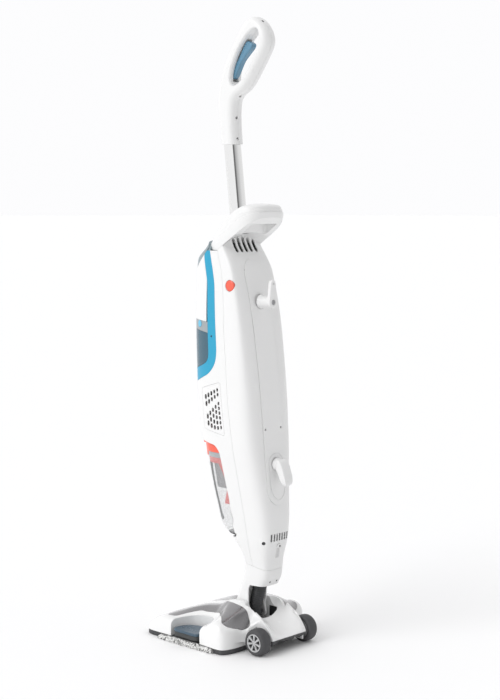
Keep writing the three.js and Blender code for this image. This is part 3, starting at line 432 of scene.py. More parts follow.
# ------------------------------------------------------------------ body envelope
GAP = 0.3  # between neighbouring pieces
FAR = 200  # beyond every surface
TUBE_RADIUS, SOCKET_RADIUS = 16.2, 16.5
WHEEL_X, WHEEL_Y, WHEEL_Z = 66, 118, 25.5
PIVOT_Y, PIVOT_Z = 48, 55
body_half = curve([(66, 25.5), (100, 26.5), (150, 28), (166, 30), (200, 36), (230, 40), (275, 46), (330, 53),
                   (390, 60), (470, 62), (600, 61), (700, 58), (762, 53), (800, 50)])
body_seam = curve([(66, 38), (100, 50), (150, 70), (183, 66), (252, 61), (297, 56), (364, 49), (424, 42),
                   (472, 36), (540, 31), (611, 25), (659, 23), (709, 17), (750, 3), (800, -6)])
body_front = curve([(66, 11), (78, 16), (101, 26), (130, 37), (157, 43), (177, 36), (204, 14), (240, -20),
                    (330, -48), (391, -57), (424, -61), (462, -65), (503, -68), (606, -71), (718, -68.5),
                    (731, -67), (762, -35), (800, -20)])
body_rear = curve([(66, 59), (99, 76), (114, 90), (138, 102), (165, 104), (192, 109), (216, 113), (241, 113),
                   (275, 110), (314, 106), (390, 97), (467, 89.5), (570, 75.5), (635, 64.5), (695, 50),
                   (718, 43), (737, 32.5), (762, 16), (800, 4)])
rear_squareness = curve([(66, 5), (160, 4.2), (300, 3.9), (420, 4.4), (520, 5.6), (620, 7.5), (690, 8.5),
                         (750, 7.5), (800, 6)])
SIDES = 120


def body_ring(z, inset):
    half = body_half(z) - inset
    seam = body_seam(z)
    ring = []
    for i in range(SIDES):
        turn = 2 * math.pi * i / SIDES
        c, s = math.cos(turn), math.sin(turn)
        power = 2 / (rear_squareness(z) if s > 0 else 4)
        reach = body_rear(z) - inset - seam if s > 0 else seam - body_front(z) - inset
        ring.append((half * math.copysign(abs(c) ** power, c),
                     seam + reach * math.copysign(abs(s) ** power, s), z))
    return ring


def envelope(inset, low=66, high=800, step=5):
    count = max(2, round((high - low) / step))
    return loft([body_ring(low + (high - low) * k / count, inset) for k in range(count + 1)])


def side(points, low=-90, high=90):
    return prism(points, "x", low, high)


outer = envelope(0)
skin = minus(outer, envelope(2.5))
seam_line = [(body_seam(66 + 7.34 * k), 66 + 7.34 * k) for k in range(101)]
rear_of_seam = [(y + GAP / 2, z) for y, z in seam_line] + [(seam_line[-1][0] + GAP / 2, 900), (FAR, 900),
                                                           (FAR, 66)]
front_of_seam = [(y - GAP / 2, z) for y, z in seam_line] + [(seam_line[-1][0] - GAP / 2, 900), (-FAR, 900),
                                                            (-FAR, 66)]
above_neck = [(-FAR, 166.15), (0, 166.15), (120, 147.15), (FAR, 147.15), (FAR, 900), (-FAR, 900)]
below_neck = [(-FAR, 165.85), (0, 165.85), (120, 146.85), (FAR, 146.85), (FAR, 0), (-FAR, 0)]
hood_arch = curve([(-8, 0), (10, 18), (26, 18), (46, 0)])


def hood_floor(x, y):
    return 750 + max(0, 0.69 * (y - 1)) + hood_arch(y) * max(0, 1 - (x / 53) ** 2)


def above_hood_floor(shift):
    across = [-95] + [-54 + 3 * k for k in range(37)] + [95]
    along = [-120, -20] + [-8 + 3 * k for k in range(20)] + [130]
    return loft([[(x, y, hood_floor(x, y) + shift) for x in across] + [(95, y, 900), (-95, y, 900)]
                 for y in along])


hood_space = above_hood_floor(-GAP)


def rounded(points, radius=14, steps=6):
    """An outline with its corners turned into short smooth bends."""
    result = []
    count = len(points)
    for i in range(count):
        a, b, c = (Vector(points[(i + k) % count]) for k in (-1, 0, 1))
        into = min(radius, (b - a).length * 0.45)
        away = min(radius, (c - b).length * 0.45)
        start, end = b + (a - b).normalized() * into, b + (c - b).normalized() * away
        for k in range(steps + 1):
            t = k / steps
            point = start * (1 - t) ** 2 + b * 2 * t * (1 - t) + end * t * t
            result.append((point.x, point.y))
    return result


BLUE_OUTER = [(-18, 900), (-18, 752), (-8, 720), (-1, 692), (3, 620), (7, 562), (5, 544), (-2, 530),
              (-15, 517), (-46, 503), (-100, 481)]
BLUE_INNER = [(-33, 900), (-33, 742), (-20, 691), (-17, 593), (-15, 552), (-18, 542), (-27, 535), (-46, 528),
              (-100, 510)]


def ahead_of(line, shift):
    half = len(line) / 2
    points = [(y - shift, z + shift if i > half else z) for i, (y, z) in enumerate(line)]
    return rounded(points + [(-FAR, line[-1][1] + shift), (-FAR, 900)], 10)


PANEL_LINE = [(-21.5, 900), (-21.5, 755), (-55, 718), (-100, 668)]
housing = minus(cross(skin, side(above_neck)), hood_space)

# ------------------------------------------------------------------ rear shell
container_half = curve([(208, 30), (228, 35.5), (265, 40.5), (305, 45.5), (345, 49.5), (400, 51)])
container_front = curve([(208, -2), (214, -12), (228, -24), (265, -34), (305, -43), (353, -51), (400, -58)])
container_rear = curve([(208, 66), (300, 56), (400, 40)])


def container_ring(z, inset, sides=72):
    middle = (container_front(z) + container_rear(z)) / 2
    half = container_half(z) - inset
    reach = (container_rear(z) - container_front(z)) / 2 - inset
    ring = []
    for i in range(sides):
        turn = 2 * math.pi * i / sides
        c, s = math.cos(turn), math.sin(turn)
        ring.append((half * math.copysign(abs(c) ** 0.8, c), middle + reach * math.copysign(abs(s) ** 0.8, s),
                     z))
    return ring


def container_loft(inset, low, high, step=4):
    count = max(1, round((high - low) / step))
    return loft([container_ring(low + (high - low) * k / count, inset) for k in range(count + 1)])


container_hole = container_loft(-1.2, 205.5, 390.5)
BUTTON = (38.5, 686, 10.5)
HOOK_Z = 655
screw_holes = [(23, 714), (-23, 714), (21, 418), (-21, 418)]


def slot_outline(half_wide, low, high, centre=0.0, steps=6):
    """A round-ended slot, upright, as (across, up) points."""
    points = []
    for k in range(steps + 1):
        turn = math.pi * k / steps
        points.append((centre + half_wide * math.cos(turn), high - half_wide + half_wide * math.sin(turn)))
    for k in range(steps + 1):
        turn = math.pi * (1 + k / steps)
        points.append((centre + half_wide * math.cos(turn), low + half_wide + half_wide * math.sin(turn)))
    return points


rear_cuts = [prism(slot_outline(2.1, 206, 221, i * 7), "y", 90, 130) for i in range(-3, 4)]
rear_cuts += [prism(slot_outline(4, 746, hood_floor(x, 14) - 2, x), "y", 0, 60)
              for x in (-30, -17, -4, 9, 22)]
rear_cuts += [bar((x, 20, z), (x, 130, z), 2.2, 20) for x, z in screw_holes]
rear_cuts += [bar((40, BUTTON[0], BUTTON[1]), (80, BUTTON[0], BUTTON[1]), BUTTON[2] + GAP, 64)]
rear_cuts += [bar((0, 100, 196), (0, 130, 196), 4.4, 32), bar((0, 40, HOOK_Z), (0, 90, HOOK_Z), 5.4, 32)]
rear_cuts += [bar((x - 0.2 * x, 92, 204), (x + 0.3 * x, 112, 204), 3.3, 24) for x in (31, -31)]
rear_shell = minus(cross(housing, side(rear_of_seam)), *rear_cuts)
show("rear_housing", rear_shell, WHITE, "rear_shell")
# A near-black sheet behind the vent slots under the hood: painted shade inside the vents.
show("vent_painted_shade", cross(envelope(3.2, 720, 799), cuboid((-42, 42), (12, 13), (736, 766))), SHADE_BLACK,
     body="upright")

# ------------------------------------------------------------------ front shell and its grilles
GRILLE = [(-34, 489), (16, 504), (27, 403), (-30, 412)]


def grille_zone(grow):
    return grown(rounded(GRILLE, 5, 4), grow)


front_shell = minus(cross(housing, side(front_of_seam)), side(ahead_of(BLUE_OUTER, 0)), container_hole,
                    side(rounded([(-90, 388), (-40, 388), (0, 382), (10.5, 370), (36, 212), (30, 205),
                                  (-90, 205)], 5, 4)), side(grille_zone(GAP)))
show("front_housing", front_shell, WHITE, "front_shell")


def grille_slots():
    slots = []
    for c in range(5):
        t = c / 4
        pitch = 13 + (9 - 13) * t
        high = 5.2 + (3.6 - 5.2) * t
        wide = 3.0 + (2.5 - 3.0) * t
        for row in range(c + 4):
            z = 473 + 16 * t - row * pitch - (pitch * 0.85 if row > 1 else 0)
            y = -25 + 34 * t + (489 - z) * 0.13
            slots.append(prism(slot_outline(wide, z - high, z + high, y), "x", 30, 90))
    return slots


grille_skin = cross(minus(outer, envelope(2)), prism(grille_zone(0), "x", 20, 90))
grille = minus(grille_skin, *grille_slots())
show_both("grille", grille, WHITE, "side_grille")

# ------------------------------------------------------------------ front assembly
front_band = minus(cross(outer, side(ahead_of(BLUE_OUTER, GAP))), hood_space)
deep_skin = minus(outer, envelope(4, 400, 799))
panel_zone = [(y, z - GAP) for y, z in PANEL_LINE] + [(-FAR, 900)]
blue_frame = minus(cross(front_band, deep_skin), side(ahead_of(BLUE_INNER, 0)), side(panel_zone))
show("blue_surround", blue_frame, BLUE, "blue_frame")
control_panel = minus(cross(outer, side(PANEL_LINE + [(-FAR, 900)]),
                            side([(-FAR, 0), (-22, 0), (-22, 761), (-26, 764), (-FAR, 900)])),
                      cross(envelope(12, 600, 790), cuboid((-90, 90), (-50, 40), (600, 756))))
show("control_panel_face", control_panel, PANEL, "control_panel")
filler = cross(envelope(1.2, 700, 799, 3), side([(-26, 738), (-17, 738), (-17, 757), (-26, 762.5)]),
               cuboid((-70, 70), (-60, 40), (700, 780)))
show("panel_filler", filler, PANEL, body="upright")
# A small near-black disc on each side of the blue frame: painted shade of a small hole.
pip = minus(cross(envelope(-0.15, 570, 610, 2), bar((40, -7, 589), (80, -7, 589), 1.9, 24)),
            envelope(1, 570, 610, 2))
show_both("frame_pip_shade", pip, SHADE_BLACK, body="upright")

front_centre = cross(front_band, side(ahead_of(BLUE_INNER, GAP)))
UNDER_PANEL = [(-21.5, 0), (-21.5, 754.6), (-55, 717.6), (-100, 667.6), (-FAR, 600), (-FAR, 0)]
BAND_HIGH = [(-FAR, 626), (-56, 619), (0, 614), (FAR, 600)]
BAND_LOW = [(-FAR, 606), (-52, 600), (0, 592), (FAR, 580)]


def above(line, shift):
    return [(y, z + shift) for y, z in line] + [(FAR, 900), (-FAR, 900)]


def under(line, shift):
    return [(y, z - shift) for y, z in line] + [(FAR, 0), (-FAR, 0)]


def oval(across, up, x=0.0, z=0.0, sides=56):
    return [(x + across * math.cos(2 * math.pi * k / sides), z + up * math.sin(2 * math.pi * k / sides))
            for k in range(sides)]


cover_skin = minus(front_centre, envelope(3, 400, 799))
scoop = prism(oval(30, 17, 0, 665), "y", -120, -52)
scoop_shell = prism(oval(32.2, 19.2, 0, 665), "y", -120, -49.8)
tank_cover = minus(plus(cross(cover_skin, side(UNDER_PANEL), side(above(BAND_HIGH, GAP / 2))),
                        cross(outer, scoop_shell)), scoop)
show("tank_cover_face", tank_cover, WHITE, "tank_cover")
tank_band = minus(cross(cover_skin, side(under(BAND_HIGH, GAP / 2)), side(above(BAND_LOW, GAP / 2))),
                  prism(oval(17.3, 6.3, 0, 610), "y", -120, -40),
                  prism(oval(6, 6.8, -41, 611), "x", 30, 90), prism(oval(6, 6.8, -41, 611), "x", -90, -30))
show("tank_band_face", tank_band, BAND, "tank_band")
pinch = cross(minus(envelope(-0.5, 580, 640, 3), envelope(3, 580, 640, 3)),
              prism(oval(5.7, 6.5, -41, 611), "x", 30, 90), side(under(BAND_HIGH, GAP / 2)))
show_both("tank_pinch", pinch, PALE, body="tank")
release = plus(cross(outer, prism(oval(17, 6, 0, 610), "y", -120, -62)),
               cuboid((-6, 6), (-63, -58.5), (606, 614)))
show("tank_release", release, PALE, "tank_release_button")
TANK_TOP = 608
tank_limits = cuboid((-90, 90), (-120, -12), (500, TANK_TOP))
chamber = minus(cross(envelope(5.4, 480, 760), tank_limits, side(ahead_of(BLUE_INNER, 1.2))),
                prism(oval(18.4, 7.4, 0, 610), "y", -130, -56))
hollow = minus(cross(envelope(8, 480, 760), cuboid((-90, 90), (-120, -14.5), (538, TANK_TOP - 2.5)),
                     side(ahead_of(BLUE_INNER, 4))), prism(oval(21, 10, 0, 610), "y", -130, -53))
water_tank = minus(
    plus(cross(front_centre, side(under(BAND_LOW, GAP / 2)), tank_limits), chamber), hollow,
    bar((24, -27, TANK_TOP - 8), (24, -27, TANK_TOP + 5), 9.5))
show("water_tank_body", water_tank, TANK, "water_tank")

# ------------------------------------------------------------------ dust container
cup = minus(container_loft(0, 213.3, 366), container_loft(1.8, 208, 370))
show("dust_cup", cup, CLEAR, "dust_container")
lid = plus(container_loft(0.6, 211.2, 213), container_loft(2.4, 211.4, 215.5))
show("dust_cup_lid", lid, CLEAR, "container_lid")
show("lid_lip", container_loft(0.4, 209, 211), DARK_SKIRT_AND_SHADE, body="container")
core = plus(container_loft(0, 366.3, 385.5), container_loft(2.1, 366, 384),
            bar((0, -2, 300), (0, -2, 370), 12))
show("cyclone_insert", core, RED, "cyclone_core")
show("cyclone_collar", container_loft(2.1, 356, 365.8), BAND, body="container")
show("cyclone_skirt", minus(container_loft(2.1, 345, 355.8), bar((0, -2, 340), (0, -2, 360), 12.2)), PINK,
     body="container")
vane_line = [(-2, 344.8), (15, 344.8), (33, 251), (25, 251), (22, 268), (6, 268), (18, 302), (7, 330)]
vane = cross(minus(container_loft(2.1, 240, 345), container_loft(4.6, 235, 350)),
             side(rounded(vane_line, 2, 2)))
show("cyclone_vane", vane, PINK, body="container")
# A dark band along the clear cup's edge: painted shade.
rim_line = [(-41, 344.8), (-34.5, 344.8), (-13, 232), (-19, 232)]
rim = cross(minus(container_loft(2.1, 232, 345), container_loft(4.4, 228, 350)), side(rim_line))
show("cup_edge_shade", rim, DARK_SKIRT_AND_SHADE, body="container")
filter_profile = [(0.38 * k, 33 + 0.055 * k + (0.25 if k % 2 else -0.25)) for k in range(129)]
filter_outer = turned(filter_profile, (0, -4, 295.8), (0, 0, 1), 96)
show("filter_mesh_sleeve", minus(filter_outer, bar((0, -2, 290), (0, -2, 350), 12.4)), MESH, "mesh_filter",
     sharp=50)
latch = prism(rounded([(-60.4, 371), (-64, 392), (-74, 391), (-72, 384), (-66, 350), (-60, 350),
                       (-57.2, 360)], 2, 3), "x", -19, 19, 2, 3)
latch = minus(latch, cuboid((12.5, 30), (-90, -40), (340, 376)), cuboid((-30, -12.5), (-90, -40), (340, 376)))
show("cup_latch", latch, RED, "container_latch")

# ------------------------------------------------------------------ carry handle
hood_crest = curve([(-60, 725), (-26, 762), (4, 795), (30, 818), (49, 829), (62, 833), (80, 832), (100, 826)])


def hood_ring(scale, level, sides=120):
    ring = []
    for i in range(sides):
        turn = 2 * math.pi * i / sides
        c, s = math.cos(turn), math.sin(turn)
        x = 53.5 * scale * math.copysign(abs(c) ** 0.62, c)
        y = 28 + (65 if s > 0 else 70) * scale * math.copysign(abs(s) ** 0.62, s)
        floor = hood_floor(x, y)
        crest = hood_crest(y) + 5 * (1 - (x / 53.5) ** 2)
        ring.append((x, y, floor + (crest - floor) * level))
    return ring


hood_scale = curve([(-0.3, 0.95), (0.1, 0.98), (0.3, 1), (0.5, 1), (0.53, 0.978), (0.7, 0.972), (0.73, 0.95),
                    (0.88, 0.93), (0.98, 0.86), (1, 0.6)])
hood_levels = [-0.3, -0.1, 0.1, 0.2, 0.3, 0.4, 0.5, 0.515, 0.53, 0.62, 0.7, 0.715, 0.73, 0.8, 0.85, 0.88,
               0.91, 0.94, 0.96, 0.98]
hood_rings = [hood_ring(hood_scale(level), level) for level in hood_levels]
hood_rings += [hood_ring(0.86 - 0.56 * k / 10, 0.98 + 0.02 * min(1, k / 5)) for k in range(1, 11)]
hood_blank = loft(hood_rings)
hood_limits = side(rounded([(-25.7, 764.5), (-21.2, 760.5), (-18, 756)], 0.1, 1)
                   + [(-18, 700), (FAR, 700), (FAR, 900), (-25.7, 900)])


def tube_at(z):
    t = (z - 780) / 205
    return (0, 9.5 - 23.9 * t, z)


socket = bar(tube_at(779.6), tube_at(860), SOCKET_RADIUS, 72)
recess = prism(rounded([(30, 745), (84, 770), (69, 812), (46, 806)], 6, 4), "x", -35, 35, 4, 4)
hood = minus(cross(hood_blank, above_hood_floor(0), hood_limits), socket, recess)
show("carry_hood", hood, WHITE, "carry_handle", sharp=38)

# ------------------------------------------------------------------ handle tube and grip
tube = minus(bar(tube_at(780), tube_at(985), TUBE_RADIUS, 96), bar(tube_at(775), tube_at(990), 15, 72))
show("bright_tube", tube, CHROME, "handle_tube")

GRIP_OUTLINE = [(-26.2, 930), (-28, 948), (-32.3, 985), (-36, 1015), (-35, 1045), (-18, 1096), (11, 1143),
                (32, 1170), (52, 1180), (74, 1168), (88, 1146), (88, 1124), (68, 1092), (37, 1052),
                (13, 1036), (5, 1020), (4.5, 985), (7.6, 948), (9.6, 930)]


def spline(points, steps=8):
    """A smooth open curve through points."""
    result = []
    last = len(points) - 1
    for i in range(last):
        a, b, c, d = points[max(0, i - 1)], points[i], points[i + 1], points[min(last, i + 2)]
        for k in range(steps):
            t = k / steps
            result.append(tuple(
                0.5 * (2 * q + (r - p) * t + (2 * p - 5 * q + 4 * r - s) * t * t
                       + (3 * q - p - 3 * r + s) * t ** 3)
                for p, q, r, s in zip(a, b, c, d)))
    return result + [points[-1]]


def spaced(points, step):
    """The same closed outline with points an even step apart."""
    closed = [Vector(p) for p in points + [points[0]]]
    ends = [0.0]
    for a, b in zip(closed, closed[1:]):
        ends.append(ends[-1] + (b - a).length)
    count = max(8, round(ends[-1] / step))
    result = []
    i = 0
    for k in range(count):
        at = ends[-1] * k / count
        while ends[i + 1] < at:
            i += 1
        t = (at - ends[i]) / max(1e-9, ends[i + 1] - ends[i])
        result.append(tuple(closed[i].lerp(closed[i + 1], t)))
    return result


LEAN = math.radians(-33)
grip_hole = [(35 + 20 * math.cos(a) * math.cos(LEAN) - 58 * math.sin(a) * math.sin(LEAN),
              1107 + 20 * math.cos(a) * math.sin(LEAN) + 58 * math.sin(a) * math.cos(LEAN))
             for a in [2 * math.pi * k / 96 for k in range(96)]]
grip_blank = cross(prism(spaced(spline(GRIP_OUTLINE), 3), "x", -17.75, 17.75, 12.5, 10),
                   cuboid((-60, 60), (-100, 150), (948, 1200)))
grip_window = prism(grip_hole, "x", -18.5, 18.5, 7, 7, flare=True)
trigger_pocket = prism([(-19, 1072), (-7, 1058), (16, 1076), (38, 1126), (34, 1147), (17, 1131)], "x", -7.4,
                       7.4)
grip = minus(grip_blank, grip_window, bar(tube_at(930), tube_at(985.4), SOCKET_RADIUS, 72), trigger_pocket)
grip_holes = [bar((3.2, y, z), (3.2, 18, z), 2.9, 24) for y, z in ((3.4, 958), (-0.6, 997))]
grip_holes += [bar((3.2, 10.7, 1040.2), (3.2, 20, 1027.7), 2.9, 24),
               bar((3.2, 70, 1168.9), (3.2, 82, 1184.9), 2.9, 24)]
half_space = cuboid((0.15, 60), (-200, 200), (900, 1200))
grip_halves = {"left": cross(grip, half_space), "right": mirrored(cross(grip, half_space))}
# A screw sunk in each grip hole, coloured near black: the screw is there, its black is painted shade of the
# hole.
for k, (place, way) in enumerate([((3.2, 6.5, 958), (0, 1, 0)), ((3.2, 2.6, 997), (0, 1, 0)),
                                  ((3.2, 12.6, 1037.6), (0, 0.6, -0.8)), ((3.2, 72, 1171.5), (0, 0.6, 0.8))]):
    sunk = Vector(place) - Vector(way) * 1.6
    show(f"grip_screw_shade_{k}", bar(sunk - Vector(way) * 1.5, sunk, 2.45, 24), SHADE_BLACK, body="upright")
for name, half in grip_halves.items():
    drilled = minus(half, *grip_holes) if name == "left" else half
    show(f"grip_shell_{name}", drilled, WHITE, f"grip_{name}", sharp=40)
trigger_outline = [(-10.5, 1073), (-5, 1067.5), (3, 1072), (20, 1101), (46, 1124), (47.5, 1131.5),
                   (33, 1138.5), (26, 1129), (10, 1103), (-8.5, 1083)]
trigger = prism(spaced(rounded(trigger_outline, 7, 5), 1.6), "x", -6.9, 6.9, 2.4, 5)
show("steam_trigger_body", trigger, TRIGGER, "steam_trigger", sharp=45)

# ------------------------------------------------------------------ side button, rear panel, hooks, screws
button_profile = [(0, 10.2), (7, 10.4), (8.2, 10.0), (8.8, 9.2), (8.9, 8.2), (8.5, 7.6), (8.45, 6), (8.7, 3),
                  (8.8, 0.2)]
show("power_button_cap", turned(button_profile, (50, BUTTON[0], BUTTON[1]), (1, 0, 0), 72), RED,
     "side_button")

PANEL_FACE = [(-27, 640), (-27, 708), (-22, 722), (-12, 731), (0, 734), (12, 731), (22, 722), (27, 708),
              (27, 640), (27, 300), (22, 285), (12, 276), (0, 273), (-12, 276), (-22, 285), (-27, 300)]
panel_outline = spaced(rounded(PANEL_FACE, 9, 4), 4)


def recess_outline(half):
    """The rounded pocket pressed into the panel around the lower hook."""
    low = [(half * math.cos(math.pi * (1 + k / 24)), 314 + 1.5 * half * math.sin(math.pi * (1 + k / 24)))
           for k in range(25)]
    top = [(half * math.cos(math.pi * k / 24), 352 + half * math.sin(math.pi * k / 24)) for k in range(25)]
    return low + top


rear_panel = minus(
    cross(minus(envelope(-1.6), envelope(-GAP)), prism(panel_outline, "y", 20, 130)),
    bar((0, 40, HOOK_Z), (0, 130, HOOK_Z), 14, 48), bar((0, 60, 351), (0, 130, 351), 12.4, 48),
    minus(cross(minus(envelope(-1.7), envelope(-1.0)), prism(recess_outline(20.5), "y", 60, 130)),
          prism(recess_outline(18.8), "y", 60, 130)),
    *[bar((x, 40, z), (x, 130, z), 2.2, 20) for x, z in screw_holes[2:]])
show("rear_cover_panel", rear_panel, WHITE, "rear_panel")

grown_body = envelope(-GAP)
post = minus(
    plus(turned([(0, 13.5), (2, 12.3), (5, 11.2), (12, 10.2), (23, 9.5)], (0, 65, HOOK_Z), (0, 1, 0), 64),
         bar((0, 57, HOOK_Z), (0, 67, HOOK_Z), 5, 32)),
    bar((0, 76, HOOK_Z), (0, 93, HOOK_Z), 2.1, 24))
post = minus(post, minus(grown_body, bar((0, 30, HOOK_Z), (0, 90, HOOK_Z), 5.2, 32)))
show("hook_post_body", post, WHITE, "hook_post", sharp=40)
arm_outline = [(11 * math.cos(a), HOOK_Z + 11 * math.sin(a))
               for a in [math.pi + math.pi * k / 24 for k in range(25)]]
arm_outline += [(6.5 * math.cos(a), HOOK_Z + 35 + 6.5 * math.sin(a))
                for a in [math.pi * k / 18 for k in range(19)]]
arm = minus(prism(arm_outline, "y", 88.3, 96, 1.6, 4), bar((0, 80, HOOK_Z), (0, 120, HOOK_Z), 2.4, 24),
            bar((0, 93, HOOK_Z), (0, 120, HOOK_Z), 5.2, 40),
            bar((0, 94.2, HOOK_Z + 35), (0, 120, HOOK_Z + 35), 2, 20))
show("cord_hook_arm", arm, WHITE, "cord_hook_upper", sharp=40)
blade_outline = [(112, 362), (121, 361), (128, 350), (135, 331), (136.5, 316), (131, 312), (125, 317),
                 (117, 336), (112, 341)]
blade = prism(spaced(rounded(blade_outline, 6, 5), 2), "x", -12, 12, 2.6, 5)
blade_plan = [(-12 + 0.1, 365), (12 - 0.1, 365), (12, 335), (10.5, 322), (6.5, 314), (0, 311.5), (-6.5, 314),
              (-10.5, 322), (-12, 335)]
low_hook = plus(cross(blade, prism(spaced(rounded(blade_plan, 4, 4), 2), "y", 90, 150)),
                bar((0, 104, 351), (0, 116, 351), 12, 56, 11))
show("cord_hook_blade", minus(low_hook, grown_body), WHITE, "cord_hook_lower", sharp=40)


def screw(name, centre, way, radius, material, node=None, body="upright"):
    """A domed screw head with a cross recess, and its shank."""
    head = turned([(-4, radius * 0.6), (-1.2, radius * 0.6), (-1.2, radius), (-0.5, radius),
                   (-0.1, radius * 0.7), (0, radius * 0.2)], centre, way, 28)
    turn = Vector((0, 0, 1)).rotation_difference(Vector(way)).to_matrix().to_4x4()
    cuts = []
    for wide, high in ((radius * 1.1, radius * 0.26), (radius * 0.26, radius * 1.1)):
        cut = cuboid((-wide / 2, wide / 2), (-high / 2, high / 2), (-0.7, 1))
        cut.data.transform(Matrix.Translation(centre) @ turn)
        cuts.append(cut)
    return show(name, minus(head, *cuts), material, *([node] if node else []), body=body)


def rear_face(x, z):
    power = rear_squareness(z)
    shoulder = (1 - abs(x / body_half(z)) ** power) ** (1 / power)
    return body_seam(z) + (body_rear(z) - body_seam(z)) * shoulder


for name, x in (("left", 23), ("right", -23)):
    screw(f"panel_screw_head_{name}", (x, rear_face(x, 714) - 0.8, 714), (0, 1, 0), 2.0, SCREW,
          f"panel_screw_{name}")
for name, x in (("left", 9.3), ("right", -9.3)):
    screw(f"neck_screw_head_{name}", (x, rear_face(x, 125) - 0.8, 125), (0, 1, 0), 2.0, SCREW,
          f"neck_screw_{name}")
screw("hook_screw_head", (0, 96.2, HOOK_Z), (0, 1, 0), 4.6, STEEL, "hook_screw")

for name, x in (("left", 31), ("right", -31)):
    screw(f"corner_screw_{name}", (x, rear_face(x, 204) - 1, 204), (x * 0.025, 1, 0), 2.9, SCREW)

# Cord gland: a flat ribbed guide that hangs from a small mouth, darkened by a near-black disc as painted
# shade.
gland = plus(bar((0, 104, 196), (0, 113.4, 196), 4.1, 40),
             cross(envelope(-1.3, 150, 220, 4), cuboid((-3.6, 3.6), (100, 125), (172, 196))))
gland = minus(gland, minus(envelope(0.05, 150, 222, 4), bar((0, 90, 196), (0, 130, 196), 4.2, 40)),
              *[cuboid((x - 0.3, x + 0.3), (100, 130), (173, 191)) for x in (-2.4, -0.8, 0.8, 2.4)],
              bar((0, 108, 196), (0, 120, 196), 2.3, 28))
show("cord_gland", gland, WHITE, "cord_inlet")
# The mouth is a near-black disc inside the bore: painted shade.
show("cord_gland_mouth_shade", bar((0, 108.2, 196), (0, 111, 196), 2.25, 28), SHADE_BLACK, body="upright")

# ------------------------------------------------------------------ neck
opening = side([(54, 50), (56, 108), (60, 116), (78, 117), (FAR, 113), (FAR, 50)], -40, 40)
ear_outline = [(PIVOT_Y + 10.5 * math.cos(a),
                PIVOT_Z + 10.5 * math.sin(a)) for a in [math.pi + math.pi * k / 24 for k in range(25)]]
ear_outline += [(52, 78), (30, 78)]
neck = minus(plus(minus(cross(skin, side(below_neck)), opening), prism(ear_outline, "x", 19.5, 25.2, 1, 3),
                  prism(ear_outline, "x", -25.2, -19.5, 1, 3)), bar((-40, PIVOT_Y, PIVOT_Z),
                                                                    (40, PIVOT_Y, PIVOT_Z), 4.3, 40),
             *[bar((x, 80, 125), (x, 120, 125), 2.2, 20) for x in (9.3, -9.3)])
show("neck_sleeve", neck, WHITE, "neck_shell")


def corrugated(path, radius, pitch=4.4, depth=1.3, sides=36):
    """A ribbed hose along a smooth path."""
    points = [Vector(p) for p in spline(path, 40)]
    rings = []
    travelled = 0.0
    for i, point in enumerate(points):
        if i:
            travelled += (point - points[i - 1]).length
        way = (points[min(i + 1, len(points) - 1)] - points[max(0, i - 1)]).normalized()
        across = Vector((1, 0, 0))
        up = way.cross(across).normalized()
        r = radius + depth * (0.5 + 0.5 * math.cos(2 * math.pi * travelled / pitch)) ** 0.7 - depth
        rings.append([point + (across * math.cos(a) + up * math.sin(a)) * r
                      for a in [2 * math.pi * k / sides for k in range(sides)]])
    return loft(rings)


hose = show("ribbed_hose", corrugated([(0, 48.5, 42), (0, 50, 68), (0, 60, 104), (0, 69, 136), (0, 74, 176)],
                                      13.2), DARK, "suction_hose", sharp=60, ride=False)

# ------------------------------------------------------------------ floor head
plan_half = curve([(-144, 92), (-141, 102), (-134, 109), (-118, 112), (-60, 112.5), (28, 114.5), (54, 116.5),
                   (66, 115.5), (72, 111.5), (76, 104), (78.5, 93), (81, 80), (86, 70), (92, 63), (98, 57),
                   (105, 51), (112, 48), (138, 47)])
head_crest = curve([(-144, 17), (-135, 26), (-117, 37), (-94, 45), (-65, 54), (-19, 64), (2, 74), (18, 81),
                    (40, 84), (60, 83), (75, 80), (88, 75), (98, 69.5), (115, 59), (124, 50), (132, 40),
                    (138, 30)])
head_edge = curve([(-144, 15), (-131, 26), (-114, 37), (-94, 43), (-66, 46), (-20, 48), (13, 50), (26, 54),
                   (50, 59), (60, 57), (72, 49), (80, 44), (86, 45), (92, 48), (98, 53), (105, 59), (115, 56),
                   (124, 48), (132, 38), (138, 30)])
head_floor = curve([(58, 84), (66, 66), (76, 54), (98, 42), (118, 33), (138, 27)])
HEAD_BASE = 10
BAY_EDGE = [(118, -68), (92, -67), (68, -56), (57, -36), (57, -14), (66, 4), (80, 12), (118, 12)]


def near_bay(x, y):
    """Distance in plan from a point to the edge of the foot bay."""
    point = Vector((x, y))
    nearest = FAR
    for a, b in zip(BAY_EDGE, BAY_EDGE[1:]):
        a, b = Vector(a), Vector(b)
        t = clamp((point - a).dot(b - a) / (b - a).length_squared, 0, 1)
        nearest = min(nearest, (point - a.lerp(b, t)).length)
    return nearest


def head_top(x, y):
    half = plan_half(y)
    across = abs(x)
    flat = 46 if y > 90 else 30
    t = clamp((across - flat) / (half * 0.94 - flat), 0, 1)
    edge, crest = head_edge(y), head_crest(y)
    z = edge + (crest - edge) * 0.5 * (1 + math.cos(math.pi * t))
    if y > 58 and across < 43:
        z = min(z, head_floor(y) + (crest - head_floor(y)) * (across / 43) ** 2.4)
    if -110 < y < 50:
        dip = clamp(1 - near_bay(across, y) / 30, 0, 1)
        z -= (z - 38 if z > 38 else 0) * 0.62 * dip * dip * (3 - 2 * dip)
    bend = 3 if y > 90 else 13
    inside = half - across
    if inside < bend:
        z -= bend * (1 - math.sqrt(max(0, 1 - ((bend - inside) / bend) ** 2))) * 0.9
    return max(z, HEAD_BASE + 2.5)


